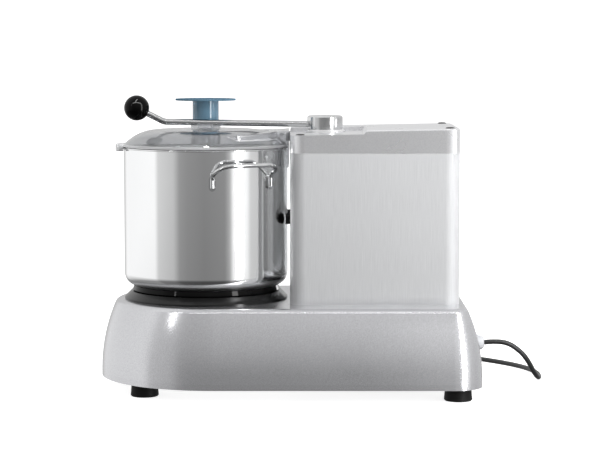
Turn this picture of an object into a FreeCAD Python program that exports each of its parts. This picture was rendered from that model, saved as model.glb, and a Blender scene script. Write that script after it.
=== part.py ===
import FreeCAD, Part
import math
import os
import Sketcher
from FreeCAD import Placement, Rotation, Vector

# Table-top bowl cutter. The row frame has its origin on the table under the middle of the base,
# +X runs from the bowl to the column, +Y to the controls, +Z up. Lengths are in millimetres.

SIZES = {
    # base casting
    "foot_height": 19.5,
    "foot_radius": 19.5,
    "base_depth": 326,
    "base_height": 108,
    "base_corner_radius": 40,
    "base_wall": 5,
    "base_skirt": 8,
    "base_side_bulge": 240,
    "deck_thickness": 6,
    "deck_inset": 25,
    "deck_edge_radius": 9,
    "cover_thickness": 2,
    "vent_length": 62,
    "vent_width": 5,
    "vent_pitch": 13,
    "pillar_radius": 8,
    "screw_radius": 3,
    "foot_screw_reach": 30,
    "foot_inset_nose": 66,
    "foot_spread_nose": 170,
    "foot_inset_tail": 33,
    "foot_spread_tail": 242,
    # bowl seat and bowl
    "bowl_inset": 148,
    "seat_inset": 0.3,
    "seat_lip": 2.2,
    "seat_slope": 9.2,
    "seat_height": 11,
    "seat_ledge": 22,
    "seat_spigot_height": 16,
    "seat_bore": 62,
    "bowl_radius": 115.5,
    "bowl_wall": 1.5,
    "bowl_floor_height": 18.8,
    "rim_over_seam": 4.8,
    "bowl_corner_radius": 18,
    "bowl_rim": 1.6,
    "bowl_tube_radius": 17,
    "bowl_tube_height": 76,
    "bowl_ring_inset": 2,
    "bowl_ring_play": 1,
    "handle_wire": 6,
    "handle_angle": 29,
    "handle_half_width": 45,
    "handle_spread": 3,
    "handle_reach": 22,
    "handle_drop": 19.7,
    "handle_leg": 15.2,
    "handle_foot": 20.4,
    "handle_bend": 22,
    "handle_foot_bend": 9,
    "handle_foot_width": 9,
    "handle_foot_thickness": 3.2,
    # lid, feed tube and pusher
    "rest_gap": 0.3,
    "seal_thickness": 1.6,
    "seal_width": 3,
    "lid_overhang": 2.1,
    "lid_thickness": 2.4,
    "lid_rise": 21.6,
    "lid_dome_width": 49.6,
    "lid_shoulder": 64.1,
    "lid_wall": 3,
    "lid_tab_reach": 9.5,
    "lid_tab_width": 66,
    "lid_tab_drop": 9.5,
    "feed_radius": 20.9,
    "feed_bore": 18.9,
    "feed_collar": 5.5,
    "feed_depth": 20,
    "feed_stop": 3.4,
    "pusher_radius": 18.4,
    "pusher_wall": 2.2,
    "pusher_length": 59.2,
    "pusher_disc_radius": 42.4,
    "pusher_disc_thickness": 1.6,
    "bracket_spread": 84,
    "bracket_length": 87.6,
    "bracket_narrowing": 24.6,
    "bracket_knee": 69.6,
    "bracket_inset": 9.1,
    "bracket_left_drop": 8,
    "bracket_right_drop": 1.6,
    "bracket_wall": 2.5,
    "bracket_fin_thickness": 4,
    "bracket_fin_reach": 5.4,
    "bracket_height": 51,
    # column and cap
    "column_gap": 3.6,
    "column_inset": 29.3,
    "column_length": 233.6,
    "column_depth": 196,
    "column_height": 208.5,
    "column_corner_radius": 20,
    "column_wall": 1.5,
    "cap_left_height": 30,
    "cap_right_height": 34.3,
    "cap_wall": 5,
    "cap_roof": 20,
    "cap_edge_radius": 2.5,
    "recess_depth": 5.6,
    "recess_length": 101,
    "recess_back": 28,
    "seat_step": 0.5,
    "plug_radius": 6.6,
    "plug_height": 1.6,
    "plug_inset": 14,
    "tie_rod_radius": 3,
    "bumper_radius": 7.5,
    "bumper_spread": 72,
    "bumper_height": 114,
    "bumper_length": 6.4,
    "switch_width": 24,
    "switch_height": 12.4,
    "switch_depth": 4.7,
    "switch_plate": 0.9,
    "switch_rise": 13.5,
    "switch_plate_over": 1.1,
    # lever
    "hub_inset": 49,
    "hub_radius": 25,
    "hub_height": 19.4,
    "hub_ring_radius": 27,
    "hub_ring_height": 4,
    "hub_chamfer": 2,
    "spindle_radius": 9,
    "spindle_length": 44,
    "bush_radius": 14,
    "bush_length": 21,
    "bush_flange": 20,
    "running_gap": 0.05,
    "rod_radius": 4.3,
    "rod_height": 11.2,
    "rod_swing_back": 10.1,
    "rod_bend_rise": 4.9,
    "rod_neck": 38.2,
    "rod_end_gap": 14,
    "rod_bend_radius": 24,
    "ball_radius": 17.5,
    "ball_reach": 265.7,
    "ball_rise": 24.4,
    "pad_length": 18,
    "pad_breadth": 13,
    "pad_height": 5.2,
    "pad_gap": 1.5,
    # knives and drive shaft
    "shaft_radius": 10,
    "shaft_drop": 92,
    "shaft_tip_radius": 7,
    "knife_bore": 17.6,
    "knife_hub_radius": 23,
    "knife_hub_height": 92,
    "knife_cap_radius": 20,
    "knife_cap_height": 17,
    "blade_thickness": 3,
    "blade_gap": 10,
    "blade_curve": 62,
    "blade_width": 24,
    "blade_collar": 30,
    "lower_blade_height": 2,
    "upper_blade_height": 38,
    # bearings, seal, belt and pulleys
    "bearing_radius": 21,
    "bearing_width": 12,
    "housing_flange": 52,
    "housing_flange_thickness": 6,
    "housing_radius": 29.5,
    "housing_nose": 12,
    "housing_depth": 56,
    "pulley_width": 22,
    "pulley_lip": 3,
    "driven_pulley_radius": 48,
    "motor_pulley_radius": 32,
    "belt_thickness": 4,
    "belt_width": 15,
    # motor and electrics
    "motor_radius": 70,
    "motor_bore": 39,
    "motor_height": 112,
    "motor_flange_radius": 84,
    "motor_flange_thickness": 12,
    "motor_hole_radius": 40,
    "rotor_radius": 38.4,
    "rotor_shaft_radius": 7,
    "fan_radius": 56,
    "fan_height": 14,
    "fan_cover_height": 30,
    "capacitor_radius": 19,
    "capacitor_height": 74,
    "capacitor_off_wall": 31,
    "capacitor_off_axis": 68,
    "contactor_width": 40,
    "contactor_depth": 46,
    "contactor_height": 66,
    "contactor_rise": 30,
    "contactor_off_axis": 76,
    # controls on the +Y side
    "panel_tilt": 16,
    "panel_x": 120,
    "panel_length": 124,
    "panel_width": 44,
    "panel_thickness": 3,
    "panel_recess": 2.5,
    "button_pitch": 38,
    "button_radius": 8.7,
    "button_height": 6,
    "barrel_radius": 10.8,
    "barrel_depth": 20,
    "bezel_radius": 14,
    "bezel_height": 2.6,
    "switch_block": 23,
    # mains lead
    "gland_height": 62,
    "gland_radius": 10.2,
    "gland_inset": 0.9,
    "gland_length": 13.4,
    "gland_nut": 4.5,
    "gland_stub_radius": 8,
    "gland_boss_radius": 14,
    "cord_radius": 3.5,
    "coil_radius": 40,
    "coil_band": 15,
    "coil_stack": 15,
    "plug_body_radius": 14,
    "plug_body_length": 38,
    "plug_pin_radius": 2.4,
    "plug_pin_length": 19,
    "plug_pin_pitch": 19,
}


class Size:
    """A number together with the sheet formula that it comes from."""

    def __init__(self, value, formula):
        self.value = value
        self.formula = formula

    def join(self, other, sign, value):
        return Size(value, f"({self.formula} {sign} {formula_of(other)})")

    def __add__(self, other):
        return self.join(other, "+", self.value + number(other))

    def __sub__(self, other):
        return self.join(other, "-", self.value - number(other))

    def __mul__(self, other):
        return self.join(other, "*", self.value * number(other))

    def __truediv__(self, other):
        return self.join(other, "/", self.value / number(other))

    def __neg__(self):
        return self * -1

    def __radd__(self, other):
        return Size(other, repr(other)) + self

    def __rsub__(self, other):
        return Size(other, repr(other)) - self

    def __rmul__(self, other):
        return self * other


def number(size):
    return size.value if isinstance(size, Size) else size


def formula_of(size):
    return size.formula if isinstance(size, Size) else f"({size!r})"


def root(size):
    return Size(math.sqrt(size.value), f"sqrt({size.formula})")


def sine(angle):
    return Size(math.sin(math.radians(angle.value)), f"sin({angle.formula})")


def cosine(angle):
    return Size(math.cos(math.radians(angle.value)), f"cos({angle.formula})")


doc = FreeCAD.newDocument("bowl_cutter")
sheet = doc.addObject("Spreadsheet::Sheet", "Sizes")


class Named:
    """The driving sizes by name, as they stand in the sheet."""


d = Named()
for row, (alias, value) in enumerate(SIZES.items(), start=1):
    sheet.set(f"A{row}", alias.replace("_", " "))
    sheet.set(f"B{row}", str(value))
    sheet.setAlias(f"B{row}", alias)
    setattr(d, alias, Size(value, f"Sizes.{alias}"))
doc.recompute()

nodes = {}


def node(thing, name):
    thing.Label = name
    nodes[name] = thing
    return thing


def bind(thing, prop, size):
    """Ties a property to the sheet, or sets a plain number such as zero."""
    if isinstance(size, Size):
        thing.setExpression(prop, size.formula)
    else:
        thing.setExpression(prop, formula_of(size))


def place(thing, x=0, y=0, z=0, turn=None):
    if turn:
        thing.Placement = Placement(Vector(), turn)
    for prop, size in (("x", x), ("y", y), ("z", z)):
        bind(thing, f"Placement.Base.{prop}", size)
    return thing


# Heights and axes that several sub-parts share
deck = d.foot_height + d.base_height
base_length = d.bowl_inset + d.bowl_radius + d.column_gap + d.column_length + d.column_inset
half_length = base_length / 2
half_depth = d.base_depth / 2
bowl_x = d.bowl_inset - half_length
column_left = bowl_x + d.bowl_radius + d.column_gap
column_right = column_left + d.column_length
column_x = column_left + d.column_length / 2
column_half = d.column_depth / 2
seat_radius = d.bowl_radius - d.seat_inset
seat_top_radius = seat_radius - d.seat_slope
seat_spigot_radius = seat_top_radius - d.seat_ledge
lid_radius = d.bowl_radius + d.lid_overhang
lid_flat_radius = lid_radius - d.lid_dome_width
hub_x = column_left + d.hub_inset
seam = deck + d.column_height
cap_slope = (d.cap_right_height - d.cap_left_height) / d.column_length
hub_seat = seam + d.cap_left_height + cap_slope * d.hub_inset - d.recess_depth - d.seat_step
ring_base = hub_seat + d.rest_gap
hub_base = ring_base + d.hub_ring_height
bowl_floor = deck + d.bowl_floor_height
bowl_rim_top = seam + d.rim_over_seam
seal_base = bowl_rim_top + d.rest_gap
flange_base = seal_base + d.seal_thickness
lid_base = flange_base + d.lid_thickness
lid_top = lid_base + d.lid_rise
dome_drop = d.lid_shoulder - d.lid_rise
dome_foot_radius = lid_flat_radius + root(d.lid_shoulder * d.lid_shoulder - dome_drop * dome_drop)
belt_z = deck - d.shaft_drop + d.pulley_width / 2

Z_AXIS = Vector(0, 0, 1)
LIE_ALONG_X = Rotation(Vector(0, 1, 0), 90)


def origin_plane(body, role):
    return next(part for part in body.Origin.OriginFeatures if part.Role == role)


def new_body(name):
    return doc.addObject("PartDesign::Body", name)


def new_sketch(body, name, plane="XZ_Plane", height=None):
    sketch = body.newObject("Sketcher::SketchObject", name)
    sketch.AttachmentSupport = [(origin_plane(body, plane), "")]
    sketch.MapMode = "FlatFace"
    if height is not None:
        bind(sketch, "AttachmentOffset.Base.z", height)
    return sketch


def constrain(sketch, kind, *items, size=None):
    """Adds one constraint, tied to the sheet where it has a size."""
    if size is None:
        sketch.addConstraint(Sketcher.Constraint(kind, *items))
        return
    index = sketch.addConstraint(Sketcher.Constraint(kind, *items, number(size)))
    bind(sketch, f"Constraints[{index}]", size)


def arc_through(start, end, radius, side):
    """Arc from start to end, with its centre on the left of the way (side 1) or on the right (-1)."""
    chord = end - start
    middle = (start + end) * 0.5
    rise = math.sqrt(max(radius * radius - chord.Length ** 2 / 4, 0))
    centre = middle + Vector(-chord.y, chord.x, 0).normalize() * rise * side
    first, last = (start, end) if side > 0 else (end, start)
    angles = [math.atan2(p.y - centre.y, p.x - centre.x) for p in (first, last)]
    return Part.ArcOfCircle(Part.Circle(centre, Z_AXIS, radius), *angles)


def outline(sketch, corners):
    """Closed outline. A corner is (across, up), or (across, up, radius, side) where an arc leaves it."""
    points = [Vector(number(corner[0]), number(corner[1]), 0) for corner in corners]
    base = sketch.GeometryCount
    ends = []
    for index, corner in enumerate(corners):
        start, end = points[index], points[(index + 1) % len(points)]
        if len(corner) == 2:
            sketch.addGeometry(Part.LineSegment(start, end), False)
            ends.append((1, 2))
        else:
            sketch.addGeometry(arc_through(start, end, number(corner[2]), corner[3]), False)
            ends.append((1, 2) if corner[3] > 0 else (2, 1))
    for index, corner in enumerate(corners):
        following = (index + 1) % len(corners)
        here = (base + index, ends[index][0])
        constrain(sketch, "Coincident", base + index, ends[index][1], base + following, ends[following][0])
        if len(corner) > 2 and (points[following] - points[index]).Length > number(corner[2]) * 1.999:
            constrain(sketch, "DistanceX", -1, 1, base + index, 3, size=corner[0])
        elif len(corner) > 2:
            constrain(sketch, "Radius", base + index, size=corner[2])
        for kind, axis, size in (("DistanceX", -2, corner[0]), ("DistanceY", -1, corner[1])):
            if number(size) == 0:
                constrain(sketch, "PointOnObject", *here, axis)
            else:
                constrain(sketch, kind, -1, 1, *here, size=size)


def feature(body, kind, name, **settings):
    made = body.newObject(f"PartDesign::{kind}", name)
    for prop, setting in settings.items():
        setattr(made, prop, setting)
    return made


def turned(name, corners, x=0, y=0, z=0):
    """A body turned about its own vertical axis from a half section."""
    body = new_body(name)
    sketch = new_sketch(body, name + "_section")
    outline(sketch, corners)
    feature(body, "Revolution", name + "_turn", Profile=sketch, ReferenceAxis=(sketch, ["V_Axis"]), Angle=360)
    return place(body, x, y, z)


def add_pad(body, sketch, length):
    pad = feature(body, "Pad", sketch.Name + "_pad", Profile=sketch)
    bind(pad, "Length", length)
    return pad


def add_pocket(body, sketch, length):
    """Cuts downwards, against the sketch's own direction."""
    pocket = feature(body, "Pocket", sketch.Name + "_pocket", Profile=sketch)
    bind(pocket, "Length", length)
    return pocket


def round_edges(body, name, radius, wanted):
    doc.recompute()
    edges = [f"Edge{index}" for index, edge in enumerate(body.Tip.Shape.Edges, 1) if wanted(edge)]
    fillet = feature(body, "Fillet", name, Base=(body.Tip, edges))
    bind(fillet, "Radius", radius)


def rounded_rectangle(sketch, left, right, front, back, radius):
    outline(sketch, [
        (left + radius, front), (right - radius, front, radius, 1),
        (right, front + radius), (right, back - radius, radius, 1),
        (right - radius, back), (left + radius, back, radius, 1),
        (left, back - radius), (left, front + radius, radius, 1)])


def cylinder(name, radius, height, x=0, y=0, z=0, turn=None):
    made = doc.addObject("Part::Cylinder", name)
    bind(made, "Radius", radius)
    bind(made, "Height", height)
    return place(made, x, y, z, turn)


def box(name, length, width, height, x=0, y=0, z=0, turn=None):
    made = doc.addObject("Part::Box", name)
    for prop, size in (("Length", length), ("Width", width), ("Height", height)):
        bind(made, prop, size)
    return place(made, x, y, z, turn)


def cut(name, base, *tools):
    made = doc.addObject("Part::Cut", name)
    made.Base = base
    made.Tool = tools[0] if len(tools) == 1 else fused(name + "_tools", *tools)
    return made


def fused(name, *parts):
    made = doc.addObject("Part::MultiFuse", name)
    made.Shapes = list(parts)
    return made


def group(name, parts):
    """Separate solids that are alike, kept together in one sub-part."""
    made = doc.addObject("Part::Compound", name)
    made.Links = parts
    return made


def bent_path(points, radii):
    """Straight runs joined by tangent arcs, as one wire."""
    edges = []
    start = points[0]
    for before, corner, after, radius in zip(points, points[1:], points[2:], radii):
        arriving = (before - corner).normalize()
        leaving = (after - corner).normalize()
        half = arriving.getAngle(leaving) / 2
        reach = radius / math.tan(half)
        inward = (arriving + leaving).normalize() * (radius / math.sin(half) - radius)
        first, last = corner + arriving * reach, corner + leaving * reach
        if (first - start).Length > 1e-6:
            edges.append(Part.LineSegment(start, first).toShape())
        edges.append(Part.Arc(first, corner + inward, last).toShape())
        start = last
    edges.append(Part.LineSegment(start, points[-1]).toShape())
    return Part.Wire(edges)


def swept_rod(path, radius):
    """Round rod or tube along a path."""
    first = path.Edges[0]
    start = first.valueAt(first.FirstParameter)
    section = Part.Wire(Part.makeCircle(radius, start, first.tangentAt(first.FirstParameter)))
    return path.makePipeShell([section], True, False)


def shaped(name, shape):
    made = doc.addObject("Part::Feature", name)
    made.Shape = shape
    return made


# Base casting, its cover and the feet

def bolt_circle(centre, reach, count):
    angles = [math.pi * (2 * index + 1) / count for index in range(count)]
    return [(centre + reach * math.cos(angle), reach * math.sin(angle)) for angle in angles]


def bolts(name, spots, face, length, upward):
    """Bolts with their heads on a face: upward 1 stands the head up, -1 hangs it below."""
    made = []
    for index, (x, y) in enumerate(spots):
        tip, crown = face - length * upward, face + 4 * upward
        made.append(turned(f"{name}_{index}", [
            (0, tip), (d.screw_radius, tip), (d.screw_radius, face), (5.5, face), (5.5, crown), (0, crown)],
            x, y))
    node(group(name, made), name)


def base_outline(body, name, inset, height):
    """Plan of the base: a half round nose under the bowl and two rounded corners at the tail."""
    sketch = new_sketch(body, name, "XY_Plane", height)
    side = half_depth - inset
    tail = half_length - inset
    corner = d.base_corner_radius - inset
    nose = half_depth - half_length
    outline(sketch, [
        (tail, corner - side), (tail, side - corner, corner, 1),
        (tail - corner, side), (nose, side, side, 1),
        (nose, -side), (tail - corner, -side, corner, 1)])
    return sketch


skirt_top = d.foot_height + d.base_skirt
bulge_rise = deck - skirt_top
bulge_centre = half_length - d.base_side_bulge
inner_bulge = d.base_side_bulge - d.base_wall
FOOT_SPOTS = [
    (d.foot_inset_nose - half_length, d.foot_spread_nose / 2),
    (d.foot_inset_nose - half_length, -d.foot_spread_nose / 2),
    (half_length - d.foot_inset_tail, d.foot_spread_tail / 2),
    (half_length - d.foot_inset_tail, -d.foot_spread_tail / 2),
]
panel_turn = Rotation(Vector(1, 0, 0), d.panel_tilt.value - 90)
panel_y = half_depth - d.base_side_bulge * (1 - cosine(d.panel_tilt))
panel_z = skirt_top + d.base_side_bulge * sine(d.panel_tilt)


def on_panel(thing, along, out):
    """Puts a piece on the tilted panel, at a place along it and a height over its face."""
    return place(thing, d.panel_x + along, panel_y + out * cosine(d.panel_tilt),
                 panel_z + out * sine(d.panel_tilt), panel_turn)


gland_face = half_length - d.gland_inset
gland_end = gland_face + d.gland_length
BUTTON_PLACES = {
    "start_button": -d.button_pitch,
    "stop_button": Size(0, "0"),
    "pulse_button": d.button_pitch,
}
HOUSING_BOLTS = bolt_circle(bowl_x, (d.housing_radius + d.housing_flange) / 2, 6)
MOTOR_BOLTS = bolt_circle(column_x, d.motor_flange_radius - 7, 4)


def base_housing():
    body = new_body("base_casting")
    path = base_outline(body, "base_path", Size(0, "0"), d.foot_height)
    section = new_sketch(body, "wall_section")
    outer_end = bulge_centre + root(d.base_side_bulge * d.base_side_bulge - bulge_rise * bulge_rise)
    inner_rise = bulge_rise - d.base_wall
    inner_end = bulge_centre + root(inner_bulge * inner_bulge - inner_rise * inner_rise)
    inside = half_length - d.deck_inset - 2
    outline(section, [
        (half_length, d.foot_height), (half_length, skirt_top, d.base_side_bulge, 1), (outer_end, deck),
        (inside, deck), (inside, deck - d.base_wall), (inner_end, deck - d.base_wall, inner_bulge, -1),
        (half_length - d.base_wall, skirt_top), (half_length - d.base_wall, d.foot_height)])
    feature(body, "AdditivePipe", "walls", Profile=section, Spine=(path, []))
    add_pad(body, base_outline(body, "deck_plan", d.deck_inset, deck - d.deck_thickness), d.deck_thickness)
    round_edges(body, "deck_edge", d.deck_edge_radius, lambda edge: edge.BoundBox.ZMin > deck.value - 0.01
                and off_centre(edge) > half_depth.value - d.deck_inset.value)
    holes = new_sketch(body, "deck_holes", "XY_Plane", deck + 1)
    for index, (x, radius) in enumerate(((bowl_x, d.housing_radius), (column_x, d.motor_hole_radius))):
        holes.addGeometry(Part.Circle(Vector(x.value, 0, 0), Z_AXIS, radius.value), False)
        constrain(holes, "Radius", index, size=radius)
        constrain(holes, "PointOnObject", index, 3, -1)
        constrain(holes, "DistanceX", -1, 1, index, 3, size=x)
    add_pocket(body, holes, d.deck_thickness + 2)

    pillar_base = d.foot_height + d.cover_thickness
    pillars = [cylinder(f"pillar_{i}", d.pillar_radius, deck - 4 - pillar_base, x, y, pillar_base)
               for i, (x, y) in enumerate(FOOT_SPOTS)]
    boss_base = half_length - d.deck_inset
    pillars.append(cylinder("gland_boss", d.gland_boss_radius, gland_face - boss_base, boss_base, 0,
                            d.gland_height, LIE_ALONG_X))
    whole = fused("base_with_pillars", body, *pillars)
    tools = [cylinder(f"pillar_hole_{i}", d.screw_radius, d.foot_screw_reach + 2, x, y, d.foot_height)
             for i, (x, y) in enumerate(FOOT_SPOTS)]
    tools += [cylinder(f"deck_bolt_hole_{i}", d.screw_radius, d.deck_thickness + 2, x, y,
                       deck - d.deck_thickness - 1) for i, (x, y) in enumerate(HOUSING_BOLTS + MOTOR_BOLTS)]
    tools.append(cylinder("gland_hole", d.gland_stub_radius, d.deck_inset + 5, boss_base - 3, 0,
                          d.gland_height, LIE_ALONG_X))
    pocket = box("panel_pocket", d.panel_length + 0.6, d.panel_width + 0.6, 12)
    corner_x = -(d.panel_length / 2) - 0.3
    shift = panel_turn.multVec(Vector(0, -number(d.panel_width) / 2 - 0.3, 0))
    on_panel(pocket, corner_x, -d.panel_recess)
    bind(pocket, "Placement.Base.y", panel_y - d.panel_recess * cosine(d.panel_tilt) + shift.y)
    bind(pocket, "Placement.Base.z", panel_z - d.panel_recess * sine(d.panel_tilt) + shift.z)
    tools.append(pocket)
    for name, along in BUTTON_PLACES.items():
        tools.append(on_panel(cylinder(name + "_hole", d.barrel_radius + 0.2, 16), along, Size(-12, "(-12)")))
    node(cut("base_housing", whole, *tools), "base_housing")


def off_centre(edge):
    """How far the edge's middle lies from the base's centre line, or from the nose centre at the nose."""
    spot = edge.valueAt((edge.FirstParameter + edge.LastParameter) / 2)
    nose = half_depth.value - half_length.value
    tail = half_length.value - half_depth.value
    return Vector(spot.x - min(max(spot.x, nose), tail), spot.y, 0).Length


def bottom_cover():
    body = new_body("cover_plate")
    inset = d.base_wall + d.rest_gap
    add_pad(body, base_outline(body, "cover_plan", inset, d.foot_height), d.cover_thickness)
    below = d.foot_height - d.cover_thickness
    holes = [cylinder(f"cover_hole_{i}", d.screw_radius + 0.3, d.cover_thickness * 3, x, y, below)
             for i, (x, y) in enumerate(FOOT_SPOTS)]
    for index in range(-3, 4):
        across = column_x + d.vent_pitch * index
        for side in (1, -1):
            middle = d.vent_length * 0.6 * side
            holes.append(box(f"vent_{index + 3}_{side}", d.vent_width, d.vent_length, d.cover_thickness * 3,
                             across - d.vent_width / 2, middle - d.vent_length / 2, below))
    node(cut("bottom_cover", body, *holes), "bottom_cover")


def feet():
    feet_made = []
    screws = []
    head = d.screw_radius * 2
    sunk = d.foot_height / 2
    screw_top = d.foot_height + d.foot_screw_reach
    for index, (x, y) in enumerate(FOOT_SPOTS):
        feet_made.append(turned(f"foot_{index}", [
            (d.screw_radius + 0.3, sunk), (head + 1, sunk), (head + 1, 0), (d.foot_radius - 1.5, 0),
            (d.foot_radius, 1.5), (d.foot_radius - 1.5, d.foot_height),
            (d.screw_radius + 0.3, d.foot_height)], x, y))
        screws.append(turned(f"foot_screw_{index}", [
            (0, sunk - 4), (head, sunk - 4), (head, sunk), (d.screw_radius, sunk),
            (d.screw_radius, screw_top), (0, screw_top)], x, y))
    node(group("rubber_feet", feet_made), "rubber_feet")
    node(group("foot_screws", screws), "foot_screws")


# Bowl seat, bearing housing, shaft and belt drive

def seat_ring():
    body = turned("seat_ring", [
        (d.seat_bore, deck), (seat_radius, deck), (seat_radius, deck + d.seat_lip),
        (seat_top_radius, deck + d.seat_height), (seat_spigot_radius, deck + d.seat_height),
        (seat_spigot_radius, deck + d.seat_spigot_height),
        (seat_spigot_radius - 6, deck + d.seat_spigot_height),
        (seat_spigot_radius - 9, deck + 4), (d.seat_bore, deck + 4)], bowl_x)
    node(body, "seat_ring")


bearing_top = deck
lower_bearing = deck - d.housing_depth


def bearing_housing():
    flange = deck - d.deck_thickness
    housing = turned("housing_turned", [
        (d.bearing_radius, lower_bearing), (d.housing_radius, lower_bearing),
        (d.housing_radius, flange - d.housing_flange_thickness),
        (d.housing_flange, flange - d.housing_flange_thickness), (d.housing_flange, flange),
        (d.housing_radius, flange), (d.housing_radius, deck + d.housing_nose),
        (d.bearing_radius, deck + d.housing_nose), (d.bearing_radius, bearing_top - d.bearing_width),
        (d.bearing_radius - 3, bearing_top - d.bearing_width),
        (d.bearing_radius - 3, lower_bearing + d.bearing_width),
        (d.bearing_radius, lower_bearing + d.bearing_width)], bowl_x)
    holes = [cylinder(f"housing_hole_{i}", d.screw_radius, 30, x, y, flange - 20)
             for i, (x, y) in enumerate(HOUSING_BOLTS)]
    node(cut("bearing_housing", housing, *holes), "bearing_housing")
    rings = []
    for name, base in (("upper_bearing", bearing_top - d.bearing_width), ("lower_bearing", lower_bearing)):
        bore = d.shaft_radius + d.running_gap
        rings.append(turned(name, [
            (bore, base), (d.bearing_radius, base), (d.bearing_radius, base + d.bearing_width),
            (bore, base + d.bearing_width)], bowl_x))
    node(group("shaft_bearings", rings), "shaft_bearings")
    lip = d.shaft_radius + d.rest_gap
    seal_top = deck + d.housing_nose - 2
    node(turned("shaft_seal", [
        (lip, deck), (d.bearing_radius, deck), (d.bearing_radius, seal_top), (d.shaft_radius + 4, seal_top),
        (lip, seal_top - 3)], bowl_x), "shaft_seal")
    bolts("housing_bolts", HOUSING_BOLTS, flange - d.housing_flange_thickness,
          d.housing_flange_thickness + d.deck_thickness, -1)


shaft_tip = deck + d.bowl_floor_height + d.knife_hub_height


def drive_shaft():
    node(turned("drive_shaft", [
        (0, deck - d.shaft_drop - 3), (d.shaft_radius - 1, deck - d.shaft_drop - 3),
        (d.shaft_radius, deck - d.shaft_drop - 2), (d.shaft_radius, shaft_tip - 16),
        (d.shaft_tip_radius, shaft_tip - 14), (d.shaft_tip_radius, shaft_tip - 1),
        (d.shaft_tip_radius - 1, shaft_tip), (0, shaft_tip)], bowl_x), "drive_shaft")


def pulley(name, radius, bore, x):
    base = deck - d.shaft_drop
    top = base + d.pulley_width
    lip = radius + d.pulley_lip
    body = turned(name, [
        (bore, base), (lip, base), (lip, base + 1.5), (radius, base + 3),
        (radius, top - 3), (lip, top - 1.5), (lip, top), (bore, top)], x)
    node(body, name)


def belt_loop(sketch, left_radius, right_radius):
    """Closed belt line round the two pulleys: two wraps and the two runs tangent to them."""
    base = sketch.GeometryCount
    gap = (column_x - bowl_x).value
    lean = math.asin((left_radius.value - right_radius.value) / gap)
    tilt = math.pi / 2 - lean
    wraps = ((bowl_x, left_radius, tilt, 2 * math.pi - tilt), (column_x, right_radius, -tilt, tilt))
    for centre, radius, first, last in wraps:
        circle = Part.Circle(Vector(centre.value, 0, 0), Z_AXIS, radius.value)
        sketch.addGeometry(Part.ArcOfCircle(circle, first, last), False)
    left, right = sketch.Geometry[base], sketch.Geometry[base + 1]
    sketch.addGeometry(Part.LineSegment(right.EndPoint, left.StartPoint), False)
    sketch.addGeometry(Part.LineSegment(left.EndPoint, right.StartPoint), False)
    for index, (centre, radius) in enumerate(((bowl_x, left_radius), (column_x, right_radius))):
        constrain(sketch, "Radius", base + index, size=radius)
        constrain(sketch, "PointOnObject", base + index, 3, -1)
        constrain(sketch, "DistanceX", -1, 1, base + index, 3, size=centre)
    for first, last in (((base + 1, 2), (base + 2, 1)), ((base + 2, 2), (base, 1)),
                        ((base, 2), (base + 3, 1)), ((base + 3, 2), (base + 1, 1))):
        constrain(sketch, "Tangent", *first, *last)


def drive_belt():
    body = new_body("drive_belt")
    sketch = new_sketch(body, "belt_plan", "XY_Plane", belt_z - d.belt_width / 2)
    inner = (d.driven_pulley_radius + d.rest_gap, d.motor_pulley_radius + d.rest_gap)
    belt_loop(sketch, *inner)
    belt_loop(sketch, inner[0] + d.belt_thickness, inner[1] + d.belt_thickness)
    add_pad(body, sketch, d.belt_width)
    node(body, "drive_belt")


# Motor and electrics inside the column

motor_base = deck + d.motor_flange_thickness
motor_top = motor_base + d.motor_height


def motor():
    ledge = deck + d.motor_flange_thickness / 2
    flange = turned("flange_turned", [
        (d.rotor_shaft_radius + 8, deck), (d.motor_flange_radius, deck), (d.motor_flange_radius, ledge),
        (d.motor_radius, ledge), (d.motor_radius, motor_base), (d.motor_bore, motor_base),
        (d.motor_bore, motor_base - 4), (d.rotor_shaft_radius + 8, motor_base - 4)], column_x)
    holes = [cylinder(f"flange_hole_{i}", d.screw_radius, 30, x, y, deck - 5)
             for i, (x, y) in enumerate(MOTOR_BOLTS)]
    node(cut("motor_flange", flange, *holes), "motor_flange")
    bolts("motor_bolts", MOTOR_BOLTS, ledge, d.motor_flange_thickness / 2 + d.deck_thickness, 1)
    node(turned("motor_housing", [
        (d.motor_bore, motor_base), (d.motor_radius, motor_base), (d.motor_radius, motor_top),
        (d.motor_bore, motor_top)], column_x), "motor_housing")
    shaft = d.rotor_shaft_radius
    node(turned("motor_rotor", [
        (0, deck - d.shaft_drop - 3), (shaft, deck - d.shaft_drop - 3), (shaft, motor_base + 8),
        (d.rotor_radius, motor_base + 8), (d.rotor_radius, motor_top - 8), (shaft, motor_top - 8),
        (shaft, motor_top + 22), (0, motor_top + 22)], column_x), "motor_rotor")
    hub = turned("fan_hub", [
        (shaft, motor_top + 5), (16, motor_top + 5), (16, motor_top + 5 + d.fan_height),
        (shaft, motor_top + 5 + d.fan_height)], column_x)
    blades = []
    for index in range(7):
        turn = Rotation(Z_AXIS, index * 360 / 7)
        foot = turn.multVec(Vector(14, -1.2, 0))
        blades.append(box(f"fan_blade_{index}", d.fan_radius - 15, 2.4, d.fan_height,
                          column_x + foot.x, foot.y, motor_top + 5, turn))
    node(fused("motor_fan", hub, *blades), "motor_fan")
    cover_top = motor_top + d.fan_cover_height
    node(turned("fan_cover", [
        (d.motor_radius - 4, motor_top), (d.motor_radius, motor_top), (d.motor_radius, cover_top - 6),
        (d.motor_radius - 8, cover_top), (20, cover_top), (20, cover_top - 2),
        (d.motor_radius - 9, cover_top - 2), (d.motor_radius - 4, cover_top - 8)], column_x), "fan_cover")


def electrics():
    inside = column_left + d.column_wall
    node(cylinder("run_capacitor", d.capacitor_radius, d.capacitor_height, inside + d.capacitor_off_wall,
                  d.capacitor_off_axis, deck), "run_capacitor")
    node(box("contactor", d.contactor_width, d.contactor_depth, d.contactor_height, inside,
             -d.contactor_off_axis, deck + d.contactor_rise), "contactor")


# Column and cap

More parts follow.
